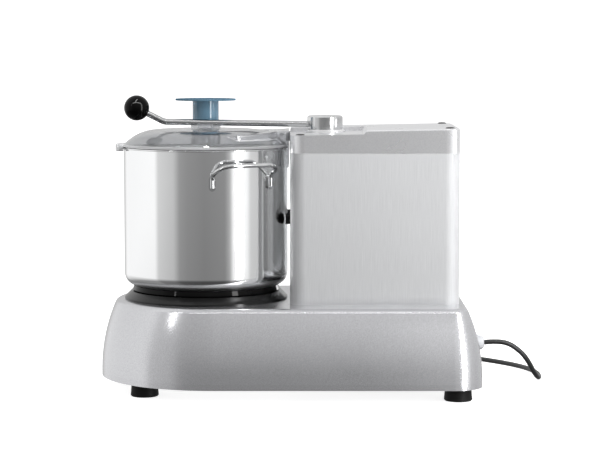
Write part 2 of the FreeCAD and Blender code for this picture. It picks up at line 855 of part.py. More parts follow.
def column_body():
    body = new_body("column_body")
    sketch = new_sketch(body, "column_plan", "XY_Plane", deck)
    wall = d.column_wall
    rounded_rectangle(sketch, column_left, column_right, -column_half, column_half, d.column_corner_radius)
    rounded_rectangle(sketch, column_left + wall, column_right - wall, wall - column_half, column_half - wall,
                      d.column_corner_radius - wall)
    add_pad(body, sketch, d.column_height)
    node(body, "column_body")


PLUG_SPOTS = [(column_left + d.plug_inset, 1), (column_left + d.plug_inset, -1),
              (column_right - d.plug_inset, 1), (column_right - d.plug_inset, -1)]
plug_y = column_half - d.plug_inset


def column_cap():
    body = new_body("cap_casting")
    plan = new_sketch(body, "cap_plan", "XY_Plane", seam)
    rounded_rectangle(plan, column_left, column_right, -column_half, column_half, d.column_corner_radius)
    add_pad(body, plan, d.cap_right_height + 4)
    wall = d.cap_wall
    hollow = new_sketch(body, "cap_hollow", "XY_Plane", seam + d.cap_roof)
    rounded_rectangle(hollow, column_left + wall, column_right - wall, wall - column_half, column_half - wall,
                      d.column_corner_radius - wall)
    add_pocket(body, hollow, d.cap_roof + 1)
    slope = new_sketch(body, "cap_slope")
    high = seam + d.cap_right_height + 20
    outline(slope, [
        (column_left, seam + d.cap_left_height), (column_right, seam + d.cap_right_height),
        (column_right, high), (column_left, high)])
    crown = add_pocket(body, slope, d.column_depth + 2)
    crown.SideType = "Symmetric"
    top_edges = seam.value + d.cap_roof.value + 1
    round_edges(body, "cap_edge", d.cap_edge_radius, lambda edge: edge.BoundBox.ZMin > top_edges
                and edge.BoundBox.ZLength < 5)
    recess = new_sketch(body, "lever_recess")
    floor = seam + d.cap_left_height - d.recess_depth
    reach = column_left + d.recess_length
    far_floor = floor + cap_slope * d.recess_length
    outline(recess, [
        (column_left - 1, floor), (reach, far_floor),
        (reach + d.recess_depth, far_floor + d.recess_depth + 0.2),
        (reach + d.recess_depth, high), (column_left - 1, high)])
    bind(recess, "AttachmentOffset.Base.z", column_half / 2 - d.recess_back / 2)
    pocket = add_pocket(body, recess, column_half + d.recess_back)
    pocket.SideType = "Symmetric"
    round_seat = new_sketch(body, "hub_seat", "XY_Plane", seam + d.cap_right_height + 10)
    round_seat.addGeometry(Part.Circle(Vector(hub_x.value, 0, 0), Z_AXIS, d.hub_ring_radius.value + 2), False)
    constrain(round_seat, "Radius", 0, size=d.hub_ring_radius + 2)
    constrain(round_seat, "PointOnObject", 0, 3, -1)
    constrain(round_seat, "DistanceX", -1, 1, 0, 3, size=hub_x)
    add_pocket(body, round_seat, seam + d.cap_right_height + 10 - hub_seat)
    tools = [cylinder("bush_hole", d.bush_radius, 40, hub_x, 0, seam)]
    for index, (x, side) in enumerate(PLUG_SPOTS):
        tools.append(cylinder(f"tie_hole_{index}", d.tie_rod_radius, 60, x, plug_y * side, seam - 2))
    node(cut("column_cap", body, *tools), "column_cap")


def cap_fasteners():
    plugs = []
    rods = []
    rod_length = d.column_height + d.cap_left_height - d.recess_depth - 2
    for index, (x, side) in enumerate(PLUG_SPOTS):
        from_left = x - column_left
        drop = d.recess_depth if index == 1 else 0
        top = seam + d.cap_left_height + cap_slope * (from_left + d.plug_radius) - drop + 0.05
        plugs.append(turned(f"cap_plug_{index}", [
            (0, top), (d.plug_radius, top), (d.plug_radius - 1, top + d.plug_height * 0.6),
            (d.plug_radius / 2, top + d.plug_height * 0.9), (0, top + d.plug_height)], x, plug_y * side))
        rods.append(cylinder(f"tie_rod_{index}", d.tie_rod_radius, rod_length, x, plug_y * side, deck))
    node(group("cap_plugs", plugs), "cap_plugs")
    node(group("tie_rods", rods), "tie_rods")


def column_fittings():
    bumpers = [cylinder(f"bumper_{side}", d.bumper_radius, d.bumper_length, column_left - d.bumper_length,
                        d.bumper_spread / 2 * side, deck + d.bumper_height, LIE_ALONG_X) for side in (1, -1)]
    node(group("bowl_bumpers", bumpers), "bowl_bumpers")
    plate_height = d.switch_rise + d.switch_height + d.switch_plate_over
    node(box("switch_bracket", d.switch_plate, d.switch_width - 4, plate_height, column_left - d.switch_plate,
             2 - d.switch_width / 2, seam), "switch_bracket")
    node(box("lid_switch", d.switch_depth, d.switch_width, d.switch_height,
             column_left - d.switch_plate - d.switch_depth, -(d.switch_width / 2), seam + d.switch_rise),
         "lid_switch")


# Lever

def lever():
    bore = d.spindle_radius
    top = hub_base + d.hub_height
    spindle_top = top - 5
    hub = turned("hub_turned", [
        (0, spindle_top), (bore, spindle_top), (bore, hub_base), (d.hub_radius, hub_base),
        (d.hub_radius, top - d.hub_chamfer), (d.hub_radius - d.hub_chamfer, top), (0, top)], hub_x)
    node(turned("hub_ring", [
        (bore, ring_base), (d.hub_ring_radius, ring_base), (d.hub_ring_radius, hub_base - 0.6),
        (d.hub_ring_radius - 0.6, hub_base), (bore, hub_base)], hub_x), "hub_ring")
    spindle_base = spindle_top - d.spindle_length
    node(cylinder("lever_spindle", bore, d.spindle_length, hub_x, 0, spindle_base), "lever_spindle")
    bush_base = hub_seat - d.bush_length
    roof = seam + d.cap_roof
    bush_bore = bore + d.running_gap
    node(turned("hub_bush", [
        (bush_bore, bush_base), (d.bush_radius, bush_base), (d.bush_radius, roof - 5),
        (d.bush_flange, roof - 5), (d.bush_flange, roof), (d.bush_radius, roof), (d.bush_radius, hub_seat),
        (bush_bore, hub_seat)], hub_x), "hub_bush")
    nut_top = bush_base - d.rest_gap
    node(turned("spindle_nut", [
        (bore, spindle_base + 1), (d.bush_radius, spindle_base + 1), (d.bush_radius, nut_top),
        (bore, nut_top)], hub_x), "spindle_nut")

    swing = math.radians(d.rod_swing_back.value)
    heading = Vector(-math.cos(swing), -math.sin(swing), 0)
    hub_centre = Vector(hub_x.value, 0, (hub_base + d.rod_height - d.hub_ring_height).value)

    def along(reach, rise):
        return hub_centre + heading * number(reach) + Vector(0, 0, number(rise))

    inner = along(d.hub_radius - 9, 0.1)
    bend = along(d.ball_reach - d.rod_neck, d.rod_bend_rise)
    centre = along(d.ball_reach, d.ball_rise)
    tip = centre - (centre - bend).normalize() * d.rod_end_gap.value
    rod = swept_rod(bent_path([inner, bend, tip], [d.rod_bend_radius.value]), d.rod_radius.value)
    knob = Part.makeSphere(d.ball_radius.value, centre)
    rod_shape = shaped("lever_rod", rod)
    node(rod_shape, "lever_rod")
    node(shaped("ball_knob", knob.cut(rod)), "ball_knob")
    node(cut("lever_hub", hub, rod_shape), "lever_hub")

    pad_base = lid_top + d.pad_gap
    over = (hub_x - bowl_x).value / math.cos(swing)
    pad = Part.makeBox(d.pad_length.value, d.pad_breadth.value, d.pad_height.value,
                       Vector(-d.pad_length.value / 2, -d.pad_breadth.value / 2 - 1, 0))
    pad.rotate(Vector(), Z_AXIS, d.rod_swing_back.value)
    spot = along(over, 0)
    pad.translate(Vector(spot.x, spot.y, pad_base.value))
    node(shaped("rod_pad", pad.cut(rod)), "rod_pad")


# Bowl

def bowl():
    outer = d.bowl_radius
    inner = outer - d.bowl_wall
    floor = bowl_floor
    corner = d.bowl_corner_radius
    top = bowl_rim_top
    tube = d.bowl_tube_radius
    tube_top = floor + d.bowl_tube_height
    wall = d.bowl_wall
    node(turned("bowl", [
        (tube - wall, floor), (outer - corner, floor, corner, 1), (outer, floor + corner),
        (outer, top - d.bowl_rim), (outer + d.bowl_rim, top - d.bowl_rim), (outer + d.bowl_rim, top),
        (inner, top),
        (inner, floor + corner, corner - wall, -1), (outer - corner, floor + wall),
        (tube + 3, floor + wall), (tube, floor + wall + 3), (tube, tube_top), (tube - wall, tube_top)],
        bowl_x), "bowl")
    ring_base = deck + d.seat_height + d.rest_gap
    ring_bore = seat_spigot_radius + d.bowl_ring_play
    ring_radius = seat_top_radius - d.bowl_ring_inset
    node(turned("bowl_base_ring", [
        (ring_bore, ring_base), (ring_radius - 1.5, ring_base), (ring_radius, ring_base + 1.5),
        (ring_radius - 2, floor), (ring_bore, floor)], bowl_x), "bowl_base_ring")


def bowl_handle(turn):
    """Bent wire with a flattened foot at each end against the bowl wall, at a turn round the bowl's axis."""
    wire = d.handle_wire.value / 2
    wall = d.bowl_radius.value
    half = d.handle_half_width.value
    out = math.sqrt((wall + wire) ** 2 - half * half)
    grip = (bowl_rim_top - d.handle_drop).value
    high = grip - d.handle_leg.value
    low = high - d.handle_foot.value
    width = d.handle_foot_width.value
    thick = d.handle_foot_thickness.value
    side = [Vector(out, half, low + width / 2), Vector(out, half, high),
            Vector(wall + d.handle_reach.value, half + d.handle_spread.value, grip)]
    other = [Vector(p.x, -p.y, p.z) for p in reversed(side)]
    bends = [d.handle_foot_bend.value, d.handle_bend.value, d.handle_bend.value, d.handle_foot_bend.value]
    shape = swept_rod(bent_path(side + other, bends), wire)
    for sign in (1, -1):
        foot = Part.makeBox(thick, width, high - low - width, Vector(wall, -width / 2, low + width / 2))
        for end in (low + width / 2, high - width / 2):
            foot = foot.fuse(Part.makeCylinder(width / 2, thick, Vector(wall, 0, end), Vector(1, 0, 0)))
        foot.rotate(Vector(), Z_AXIS, math.degrees(math.asin(half / (wall + wire))) * sign)
        shape = shape.fuse(foot.removeSplitter())
    shape.rotate(Vector(), Z_AXIS, turn)
    shape.translate(Vector(bowl_x.value, 0, 0))
    return shape.removeSplitter()


def bowl_handles():
    front = d.handle_angle.value - 90
    pair = [shaped(f"handle_{index}", bowl_handle(front + 180 * index)) for index in range(2)]
    node(group("bowl_handles", pair), "bowl_handles")


# Knives

def knives():
    floor = bowl_floor + d.bowl_wall + 4
    top = shaft_tip + 4
    node(turned("knife_hub", [
        (d.knife_bore, floor), (d.knife_hub_radius, floor), (d.knife_hub_radius, top - 2),
        (d.knife_hub_radius - 2, top), (d.shaft_tip_radius, top), (d.shaft_tip_radius, shaft_tip - 12),
        (d.knife_bore, shaft_tip - 12)], bowl_x), "knife_hub")
    crown = top + d.knife_cap_height
    node(turned("knife_cap", [
        (0, shaft_tip), (d.shaft_tip_radius, shaft_tip), (d.shaft_tip_radius, top), (d.knife_cap_radius, top),
        (d.knife_cap_radius, crown - 5), (d.knife_cap_radius - 5, crown), (0, crown)], bowl_x), "knife_cap")
    blade("lower_blade", floor + d.lower_blade_height, 90)
    blade("upper_blade", floor + d.upper_blade_height, 55)


def blade(name, z, turn):
    """Pair of sickle blades on one collar: each is a disc less a shifted disc, cut to the bowl's reach."""
    reach = (d.bowl_radius - d.bowl_wall - d.blade_gap).value
    curve = d.blade_curve.value
    thick = d.blade_thickness.value
    width = d.blade_width.value
    collar = d.blade_collar.value
    bore = d.knife_hub_radius.value
    limit = Part.makeCylinder(reach, thick)
    sickles = []
    for half_turn in (0, 180):
        disc = Part.makeCylinder(curve, thick, Vector(curve, width / 2, 0))
        hollow = Part.makeCylinder(curve, thick, Vector(curve, width / 2 - width, 0))
        sickle = disc.cut(hollow).common(limit)
        keep = Part.makeBox(reach, reach, thick, Vector(0, 0, 0))
        sickle = sickle.common(keep)
        sickle.rotate(Vector(), Z_AXIS, half_turn)
        sickles.append(sickle)
    whole = Part.makeCylinder(collar, thick).fuse(sickles).cut(Part.makeCylinder(bore, thick))
    whole = whole.removeSplitter()
    whole.rotate(Vector(), Z_AXIS, turn)
    whole.translate(Vector(bowl_x.value, 0, z.value))
    node(shaped(name, whole), name)


# Lid, its seal and bracket, and the pusher

def lid():
    outer = lid_radius
    wall = d.lid_wall
    flat = lid_flat_radius
    shoulder = d.lid_shoulder
    centre_z = lid_top - shoulder
    foot = lid_base
    inner = shoulder - wall
    under = flange_base - centre_z
    under_radius = flat + root(inner * inner - under * under)
    collar = lid_top + d.feed_collar
    feed_base = lid_top - d.feed_depth
    body = turned("lid_shell", [
        (under_radius, flange_base), (outer, flange_base), (outer, foot),
        (dome_foot_radius, foot, shoulder, 1),
        (flat, lid_top), (d.feed_radius, lid_top), (d.feed_radius, collar), (d.feed_bore, collar),
        (d.feed_bore, feed_base + 2), (d.feed_bore - d.feed_stop, feed_base + 2),
        (d.feed_bore - d.feed_stop, feed_base), (d.feed_radius, feed_base), (d.feed_radius, lid_top - wall),
        (flat, lid_top - wall, inner, -1)], bowl_x)
    tab_outer = cylinder("tab_disc", outer + d.lid_tab_reach, d.lid_tab_drop, bowl_x, 0,
                         foot - d.lid_tab_drop)
    tab_inner = cylinder("tab_hollow", outer + d.lid_tab_reach - wall, d.lid_tab_drop, bowl_x, 0,
                         foot - d.lid_thickness - d.lid_tab_drop)
    tab_block = box("tab_block", d.lid_tab_reach * 2.4, d.lid_tab_width, d.lid_tab_drop * 2,
                    bowl_x - outer - d.lid_tab_reach, -(d.lid_tab_width / 2), foot - d.lid_tab_drop)
    tab_core = cylinder("tab_core", outer - 0.5, d.lid_tab_drop * 2, bowl_x, 0, foot - d.lid_tab_drop - 1)
    tab = doc.addObject("Part::MultiCommon", "tab_piece")
    tab.Shapes = [cut("tab_shell", tab_outer, tab_inner, tab_core), tab_block]
    node(fused("lid", body, tab), "lid")
    node(turned("lid_seal", [
        (outer - d.seal_width, seal_base), (outer - 0.4, seal_base), (outer - 0.4, flange_base),
        (outer - d.seal_width, flange_base)], bowl_x), "lid_seal")


def lid_bracket():
    """Clear prow between the dome and the column, with two fins that hang down outside the bowl."""
    right = lid_radius - 0.2
    left = lid_radius - d.bracket_length
    knee = lid_radius - d.bracket_knee
    half_start = lid_radius - d.bracket_narrowing
    low_top = lid_top - d.bracket_left_drop
    high_top = lid_top - d.bracket_right_drop
    half = d.bracket_spread / 2
    fin_left = right - d.bracket_fin_reach

    def solid(name, inset):
        plan = new_body(name + "_plan")
        sketch = new_sketch(plan, name + "_plan_line", "XY_Plane", lid_base)
        around = lid_radius - d.bracket_inset - inset
        knee_y = root(around * around - knee * knee)
        narrow = half - inset
        turn_x = root(around * around - narrow * narrow)
        wide = half_start - inset
        outline(sketch, [
            (left, -wide), (knee, -knee_y, around, 1), (turn_x, -narrow), (right + inset, -narrow),
            (right + inset, narrow), (turn_x, narrow, around, 1), (knee, knee_y), (left, wide)])
        add_pad(plan, sketch, lid_top - lid_base)
        place(plan, bowl_x)
        side = new_body(name + "_side")
        profile = new_sketch(side, name + "_side_line")
        outline(profile, [(left - 1, lid_base), (right + inset, lid_base), (right + inset, high_top - inset),
                          (left - 1, low_top - inset)])
        pad = add_pad(side, profile, half_start * 2 + 40)
        pad.SideType = "Symmetric"
        place(side, bowl_x)
        common = doc.addObject("Part::MultiCommon", name)
        common.Shapes = [plan, side]
        return common

    prow = cut("prow_shell", solid("prow", Size(0, "0")), solid("prow_inside", d.bracket_wall))
    fins = [box(f"bracket_fin_{side}", d.bracket_fin_reach, d.bracket_fin_thickness, d.bracket_height,
                bowl_x + fin_left, (half - d.bracket_fin_thickness / 2) * side - d.bracket_fin_thickness / 2,
                high_top - d.bracket_height - 0.5) for side in (1, -1)]
    dome = turned("dome_solid", [
        (0, flange_base - 1), (lid_radius, flange_base - 1), (lid_radius, lid_base),
        (dome_foot_radius, lid_base, d.lid_shoulder, 1), (lid_flat_radius, lid_top), (0, lid_top)], bowl_x)
    rim = cylinder("rim_clearance", d.bowl_radius + d.bowl_rim + 0.5, d.bracket_height, bowl_x, 0,
                   flange_base - d.bracket_height)
    shell = fused("bracket_shell", prow, *fins)
    node(cut("lid_bracket", shell, dome, rim), "lid_bracket")
    magnet = box("magnet_block", 6, 18, 8, bowl_x + lid_radius - 13, -9, lid_top - 10.5)
    keeper = doc.addObject("Part::Cut", "lid_magnet")
    keeper.Base = magnet
    keeper.Tool = shell
    node(keeper, "lid_magnet")


def pusher():
    base = lid_top - d.feed_depth + 2 + d.rest_gap
    top = base + d.pusher_length
    disc = d.pusher_disc_radius
    thin = d.pusher_disc_thickness
    hollow = d.pusher_radius - d.pusher_wall
    node(turned("pusher", [
        (hollow, base), (d.pusher_radius, base), (d.pusher_radius, top - thin), (disc, top - thin),
        (disc, top - 0.8), (disc - 0.8, top), (0, top), (0, top - thin), (hollow, top - thin)], bowl_x),
        "pusher")


# Controls

def controls():
    plate = box("panel_plate", d.panel_length, d.panel_width, d.panel_thickness)
    shift = panel_turn.multVec(Vector(0, -number(d.panel_width) / 2, 0))
    on_panel(plate, -(d.panel_length / 2), -d.panel_recess)
    bind(plate, "Placement.Base.y", panel_y - d.panel_recess * cosine(d.panel_tilt) + shift.y)
    bind(plate, "Placement.Base.z", panel_z - d.panel_recess * sine(d.panel_tilt) + shift.z)
    face = d.panel_thickness - d.panel_recess
    holes = []
    bezels = []
    blocks = []
    for name, along in BUTTON_PLACES.items():
        holes.append(on_panel(cylinder(name + "_window", d.barrel_radius, 20), along, Size(-10, "(-10)")))
        bore = d.button_radius + d.rest_gap
        bezel = turned(name + "_bezel", [
            (bore, -d.barrel_depth), (d.barrel_radius, -d.barrel_depth), (d.barrel_radius, face),
            (d.bezel_radius, face), (d.bezel_radius, face + 1.4),
            (d.bezel_radius - 1.2, face + d.bezel_height), (bore, face + d.bezel_height)])
        bezels.append(on_panel(bezel, along, Size(0, "0")))
        button = turned(name, [
            (0, -9), (d.button_radius, -9), (d.button_radius, d.button_height - 0.8),
            (d.button_radius - 0.8, d.button_height), (0, d.button_height)])
        node(on_panel(button, along, Size(0, "0")), name)
        block = box(name + "_block", d.switch_block, d.switch_block, d.switch_block)
        half = d.switch_block.value / 2
        low = panel_turn.multVec(Vector(0, -half, 0))
        depth = d.barrel_depth + d.switch_block
        on_panel(block, along - d.switch_block / 2, -depth)
        bind(block, "Placement.Base.y", panel_y - depth * cosine(d.panel_tilt) + low.y)
        bind(block, "Placement.Base.z", panel_z - depth * sine(d.panel_tilt) + low.z)
        blocks.append(block)
    node(cut("control_panel", plate, *holes), "control_panel")
    node(group("button_bezels", bezels), "button_bezels")
    node(group("switch_blocks", blocks), "switch_blocks")


# Mains lead: gland, cord, put-away coil and plug

COIL_X = 195.0
COIL_Y = 228.0


def cord_route():
    """Corners of the cord from the gland to the coil: an arch down to the table, then round the tail."""
    lie = d.cord_radius.value + 0.1
    return [Vector(*point) for point in (
        (gland_end.value, 0, d.gland_height.value), (288, 0, 63.4), (311.5, 0.5, 62), (331, 2.5, 48),
        (341.5, 6, 34.5), (353, 17, 13), (362, 43, lie), (365, 80, lie), (360, 120, lie), (343, 160, lie),
        (316, 198, lie), (284, 232, lie), (248, 256, lie), (COIL_X + 14, COIL_Y + d.coil_radius.value, lie))]


def cord():
    lie = d.gland_height
    stub = [
        (0, -22), (d.gland_stub_radius, -22), (d.gland_stub_radius, 0),
        (d.gland_radius + 1.6, 0), (d.gland_radius + 1.6, d.gland_nut), (d.gland_radius, d.gland_nut),
        (d.gland_radius, d.gland_length - 5, Size(5.5, "5.5"), 1), (d.gland_radius - 4.5, d.gland_length),
        (0, d.gland_length)]
    gland = turned("cable_gland", stub)
    node(place(gland, gland_face, 0, lie, LIE_ALONG_X), "cable_gland")

    route = cord_route()
    radii = []
    for before, corner, after in zip(route, route[1:], route[2:]):
        turn = math.pi - (before - corner).getAngle(after - corner)
        run = min((before - corner).Length, (after - corner).Length)
        radii.append(0.45 * run / math.tan(turn / 2))
    path = bent_path(route, radii)
    print("cord bend radii", [round(radius) for radius in radii], "length", round(path.Length, 1))
    node(shaped("power_cord", swept_rod(path, d.cord_radius.value)), "power_cord")

    band = d.coil_band
    inner, outer = d.coil_radius - band / 2, d.coil_radius + band / 2
    node(turned("cord_coil", [(inner, 0.1), (outer, 0.1), (outer, d.coil_stack), (inner, d.coil_stack)],
                COIL_X, COIL_Y), "cord_coil")


def power_plug():
    pins_x = COIL_X - 76
    y = COIL_Y + d.coil_radius
    lie = d.plug_body_radius + 0.1
    length = d.plug_body_length
    body = turned("plug_body", [
        (0, 0), (d.plug_body_radius, 0), (d.plug_body_radius, 20), (d.plug_body_radius - 3, 28),
        (6, length - 4), (4.5, length + 14), (0, length + 14)])
    place(body, pins_x, y, lie, LIE_ALONG_X)
    pins = [cylinder(f"plug_pin_{side}", d.plug_pin_radius, d.plug_pin_length, pins_x - d.plug_pin_length,
                     y + d.plug_pin_pitch / 2 * side, lie, LIE_ALONG_X) for side in (1, -1)]
    node(group("power_plug", [body, *pins]), "power_plug")


base_housing()
bottom_cover()
feet()
seat_ring()
bearing_housing()
drive_shaft()
pulley("driven_pulley", d.driven_pulley_radius, d.shaft_radius, bowl_x)
pulley("motor_pulley", d.motor_pulley_radius, d.rotor_shaft_radius, column_x)
drive_belt()
motor()
electrics()
column_body()
column_cap()
cap_fasteners()
column_fittings()
lever()
bowl()
bowl_handles()
knives()
lid()
lid_bracket()
pusher()
controls()
cord()
power_plug()

doc.recompute()
for thing in doc.Objects:
    if "Invalid" in thing.State or "Error" in thing.State:
        raise RuntimeError(f"{thing.Name} failed: {thing.State}")
os.makedirs("parts", exist_ok=True)
for name, thing in nodes.items():
    shape = thing.Shape
    if shape.isNull() or not shape.isValid() or not shape.Solids:
        raise RuntimeError(f"{name} has no valid solid")
for name, thing in nodes.items():
    thing.Shape.exportStep(f"parts/{name}.step")
print(len(nodes), "sub-parts written")
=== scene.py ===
"""Looks of the tabletop bowl cutter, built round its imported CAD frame. Lengths are in metres."""

import math

import bmesh
import bpy
from mathutils import Matrix, Vector


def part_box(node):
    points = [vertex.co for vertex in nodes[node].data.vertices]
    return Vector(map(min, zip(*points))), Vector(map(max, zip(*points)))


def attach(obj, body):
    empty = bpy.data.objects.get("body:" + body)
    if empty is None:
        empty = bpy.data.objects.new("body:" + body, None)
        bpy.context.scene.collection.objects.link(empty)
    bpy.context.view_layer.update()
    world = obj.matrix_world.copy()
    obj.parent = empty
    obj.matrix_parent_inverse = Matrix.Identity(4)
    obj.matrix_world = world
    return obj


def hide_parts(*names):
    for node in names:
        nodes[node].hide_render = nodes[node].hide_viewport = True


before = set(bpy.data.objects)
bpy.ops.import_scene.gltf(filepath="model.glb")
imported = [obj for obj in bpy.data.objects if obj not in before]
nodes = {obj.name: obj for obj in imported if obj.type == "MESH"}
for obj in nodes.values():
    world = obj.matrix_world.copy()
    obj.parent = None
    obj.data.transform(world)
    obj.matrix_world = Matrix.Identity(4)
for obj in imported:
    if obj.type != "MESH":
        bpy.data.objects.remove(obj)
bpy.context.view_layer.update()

MM = 0.001


def corners(name):
    """Lowest and highest corner of a node at rest."""
    low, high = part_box(name)
    return Vector(low), Vector(high)


bowl_low, bowl_high = corners("bowl")
bowl_axis = ((bowl_low + bowl_high) / 2).xy
bowl_radius = (bowl_high.x - bowl_low.x) / 2
column_left = corners("column_body")[0].x


# Materials

def new_material(name, **sockets):
    """Principled material. Socket names are written with underscores for spaces."""
    made = bpy.data.materials.new(name)
    made.use_nodes = True
    shader = made.node_tree.nodes["Principled BSDF"]
    for key, value in sockets.items():
        socket = shader.inputs[key.replace("_", " ")]
        socket.default_value = (*value, 1.0) if isinstance(value, tuple) and len(value) == 3 else value
    return made


class Graph:
    """Short way to add shader nodes to a material and link them."""

    def __init__(self, material):
        self.tree = material.node_tree
        self.shader = self.tree.nodes["Principled BSDF"]

    def add(self, kind, settings=None, **inputs):
        made = self.tree.nodes.new(kind)
        for key, value in (settings or {}).items():
            setattr(made, key, value)
        for key, value in inputs.items():
            self.feed(made.inputs[key.replace("_", " ")], value)
        return made

    def feed(self, socket, value):
        if isinstance(value, bpy.types.NodeSocket):
            self.tree.links.new(value, socket)
        else:
            socket.default_value = value

    def place(self, stretch=(1, 1, 1)):
        """Object coordinates, stretched along the axes with numbers under 1."""
        spot = self.add("ShaderNodeTexCoord").outputs["Object"]
        return self.add("ShaderNodeMapping", Vector=spot, Scale=stretch).outputs["Vector"]

    def noise(self, size, detail=2.0, roughness=0.5, stretch=(1, 1, 1)):
        """Noise whose features are about size metres across."""
        made = self.add("ShaderNodeTexNoise", Vector=self.place(stretch), Scale=1 / size, Detail=detail,
                        Roughness=roughness)
        return made.outputs["Fac"]

    def span(self, value, low, high, start=0.3, end=0.7):
        """Low to high where the value goes from start to end."""
        made = self.add("ShaderNodeMapRange", Value=value, From_Min=start, From_Max=end, To_Min=low,
                        To_Max=high)
        return made.outputs["Result"]

    def mix(self, factor, first, second):
        made = self.add("ShaderNodeMix", {"data_type": "RGBA"})
        colours = [socket for socket in made.inputs if socket.type == "RGBA"]
        self.feed(made.inputs["Factor"], factor)
        for socket, colour in zip(colours, (first, second)):
            self.feed(socket, (*colour, 1.0) if isinstance(colour, tuple) else colour)
        return next(socket for socket in made.outputs if socket.type == "RGBA")

    def bump(self, height, strength, distance):
        made = self.add("ShaderNodeBump", Height=height, Strength=strength, Distance=distance)
        return made.outputs["Normal"]

    def finish(self, **inputs):
        """Link what feeds the shader's own sockets."""
        for key, value in inputs.items():
            self.feed(self.shader.inputs[key.replace("_", " ")], value)


def cast_paint(name, light, dark, grain=1.7 * MM, rough=(0.27, 0.33), metal=0.85):
    """Silver-grey grained casting: a fine grain in tone and height, wide patches in gloss."""
    made = new_material(name, Metallic=metal)
    graph = Graph(made)
    fine = graph.noise(grain, detail=3.0, roughness=0.6)
    wide = graph.noise(60 * MM)
    graph.finish(Base_Color=graph.mix(graph.span(fine, 0, 1, start=0.35, end=0.65), dark, light),
                 Roughness=graph.span(wide, *rough),
                 Normal=graph.bump(fine, strength=0.3, distance=0.1 * MM))
    return made


def brushed(name, light, dark, along=(1, 1, 0.012), rough=(0.3, 0.42), spread=0.0):
    """Brushed sheet: fine lines along the axis whose stretch is small. Spread smears light across them."""
    made = new_material(name, Metallic=1.0, Anisotropic=spread)
    graph = Graph(made)
    lines = graph.noise(0.5 * MM, detail=3.0, roughness=0.7, stretch=along)
    graph.finish(Base_Color=graph.mix(graph.span(lines, 0, 1), dark, light),
                 Roughness=graph.span(lines, rough[1], rough[0]),
                 Normal=graph.bump(lines, strength=0.12, distance=0.03 * MM))
    if spread:
        level = graph.add("ShaderNodeTangent", {"direction_type": "RADIAL", "axis": "Z"})
        graph.finish(Tangent=level.outputs["Tangent"])
    return made


def metal_or_painted_sheen_below(material, edge, tone, rough):
    """Lighter, glossier metal below x = edge: real metal on the plug's pins, painted sheen on the column's
    side.
    """
    graph = Graph(material)
    spot = graph.add("ShaderNodeTexCoord").outputs["Object"]
    x = graph.add("ShaderNodeSeparateXYZ", Vector=spot).outputs["X"]
    below = graph.add("ShaderNodeMath", {"operation": "LESS_THAN"})
    graph.feed(below.inputs[0], x)
    graph.feed(below.inputs[1], edge)
    mask = below.outputs[0]
    colour = graph.shader.inputs["Base Color"]
    plain = colour.links[0].from_socket if colour.links else tuple(colour.default_value)[:3]
    graph.feed(colour, graph.mix(mask, plain, tone))
    gloss = graph.shader.inputs["Roughness"]
    graph.feed(gloss, graph.add("ShaderNodeMapRange", Value=mask, To_Min=gloss.links[0].from_socket,
                                To_Max=rough).outputs["Result"])
    metal = graph.shader.inputs["Metallic"]
    if metal.default_value < 1:
        graph.feed(metal, mask)


def polished(name, tone, rough=(0.05, 0.11)):
    """Polished metal with a faint haze."""
    made = new_material(name, Metallic=1.0, Base_Color=tone)
    graph = Graph(made)
    haze = graph.noise(25 * MM, detail=3.0, roughness=0.6)
    graph.finish(Roughness=graph.span(haze, *rough))
    return made


def moulded(name, tone, rough=(0.35, 0.45), grain=0.35 * MM, strength=0.15, **more):
    """Moulded plastic or rubber with a fine grain. More names further sockets."""
    made = new_material(name, Base_Color=tone, **more)
    graph = Graph(made)
    patches = graph.noise(20 * MM)
    graph.finish(Roughness=graph.span(patches, *rough),
                 Normal=graph.bump(graph.noise(grain), strength=strength, distance=0.03 * MM))
    return made


def clear(name, tone, rough=0.04):
    """Clear plastic."""
    made = new_material(name, Base_Color=tone, Transmission_Weight=1.0, IOR=1.5)
    graph = Graph(made)
    graph.finish(Roughness=graph.span(graph.noise(18 * MM), rough, rough * 2))
    return made


casting = cast_paint("grained_casting", (0.63, 0.632, 0.65), (0.565, 0.567, 0.585), rough=(0.17, 0.21))
# The cap: a far lighter copy of the base's grained casting, painted light in place of the side strip it is
# spared
cap_casting = cast_paint("cap_casting", (0.95, 0.952, 0.965), (0.87, 0.872, 0.89), metal=0.65)
sheet = brushed("brushed_sheet", (0.7, 0.705, 0.715), (0.62, 0.625, 0.635), rough=(0.5, 0.6), spread=0.85)
mirror = polished("polished_steel", (0.86, 0.865, 0.87))
bowl_inside = polished("bowl_inside", (0.6, 0.605, 0.61), rough=(0.28, 0.36))
satin = moulded("satin_steel", (0.95, 0.952, 0.955), rough=(0.2, 0.28), strength=0.0, Metallic=0.65)
rod_steel = polished("rod_steel", (0.5, 0.505, 0.51), rough=(0.08, 0.14))
hub_steel = polished("hub_steel", (0.66, 0.665, 0.67), rough=(0.12, 0.18))
wire_steel = polished("wire_steel", (0.6, 0.605, 0.61), rough=(0.04, 0.08))
clear_resin = clear("clear_resin", (0.86, 0.87, 0.885))
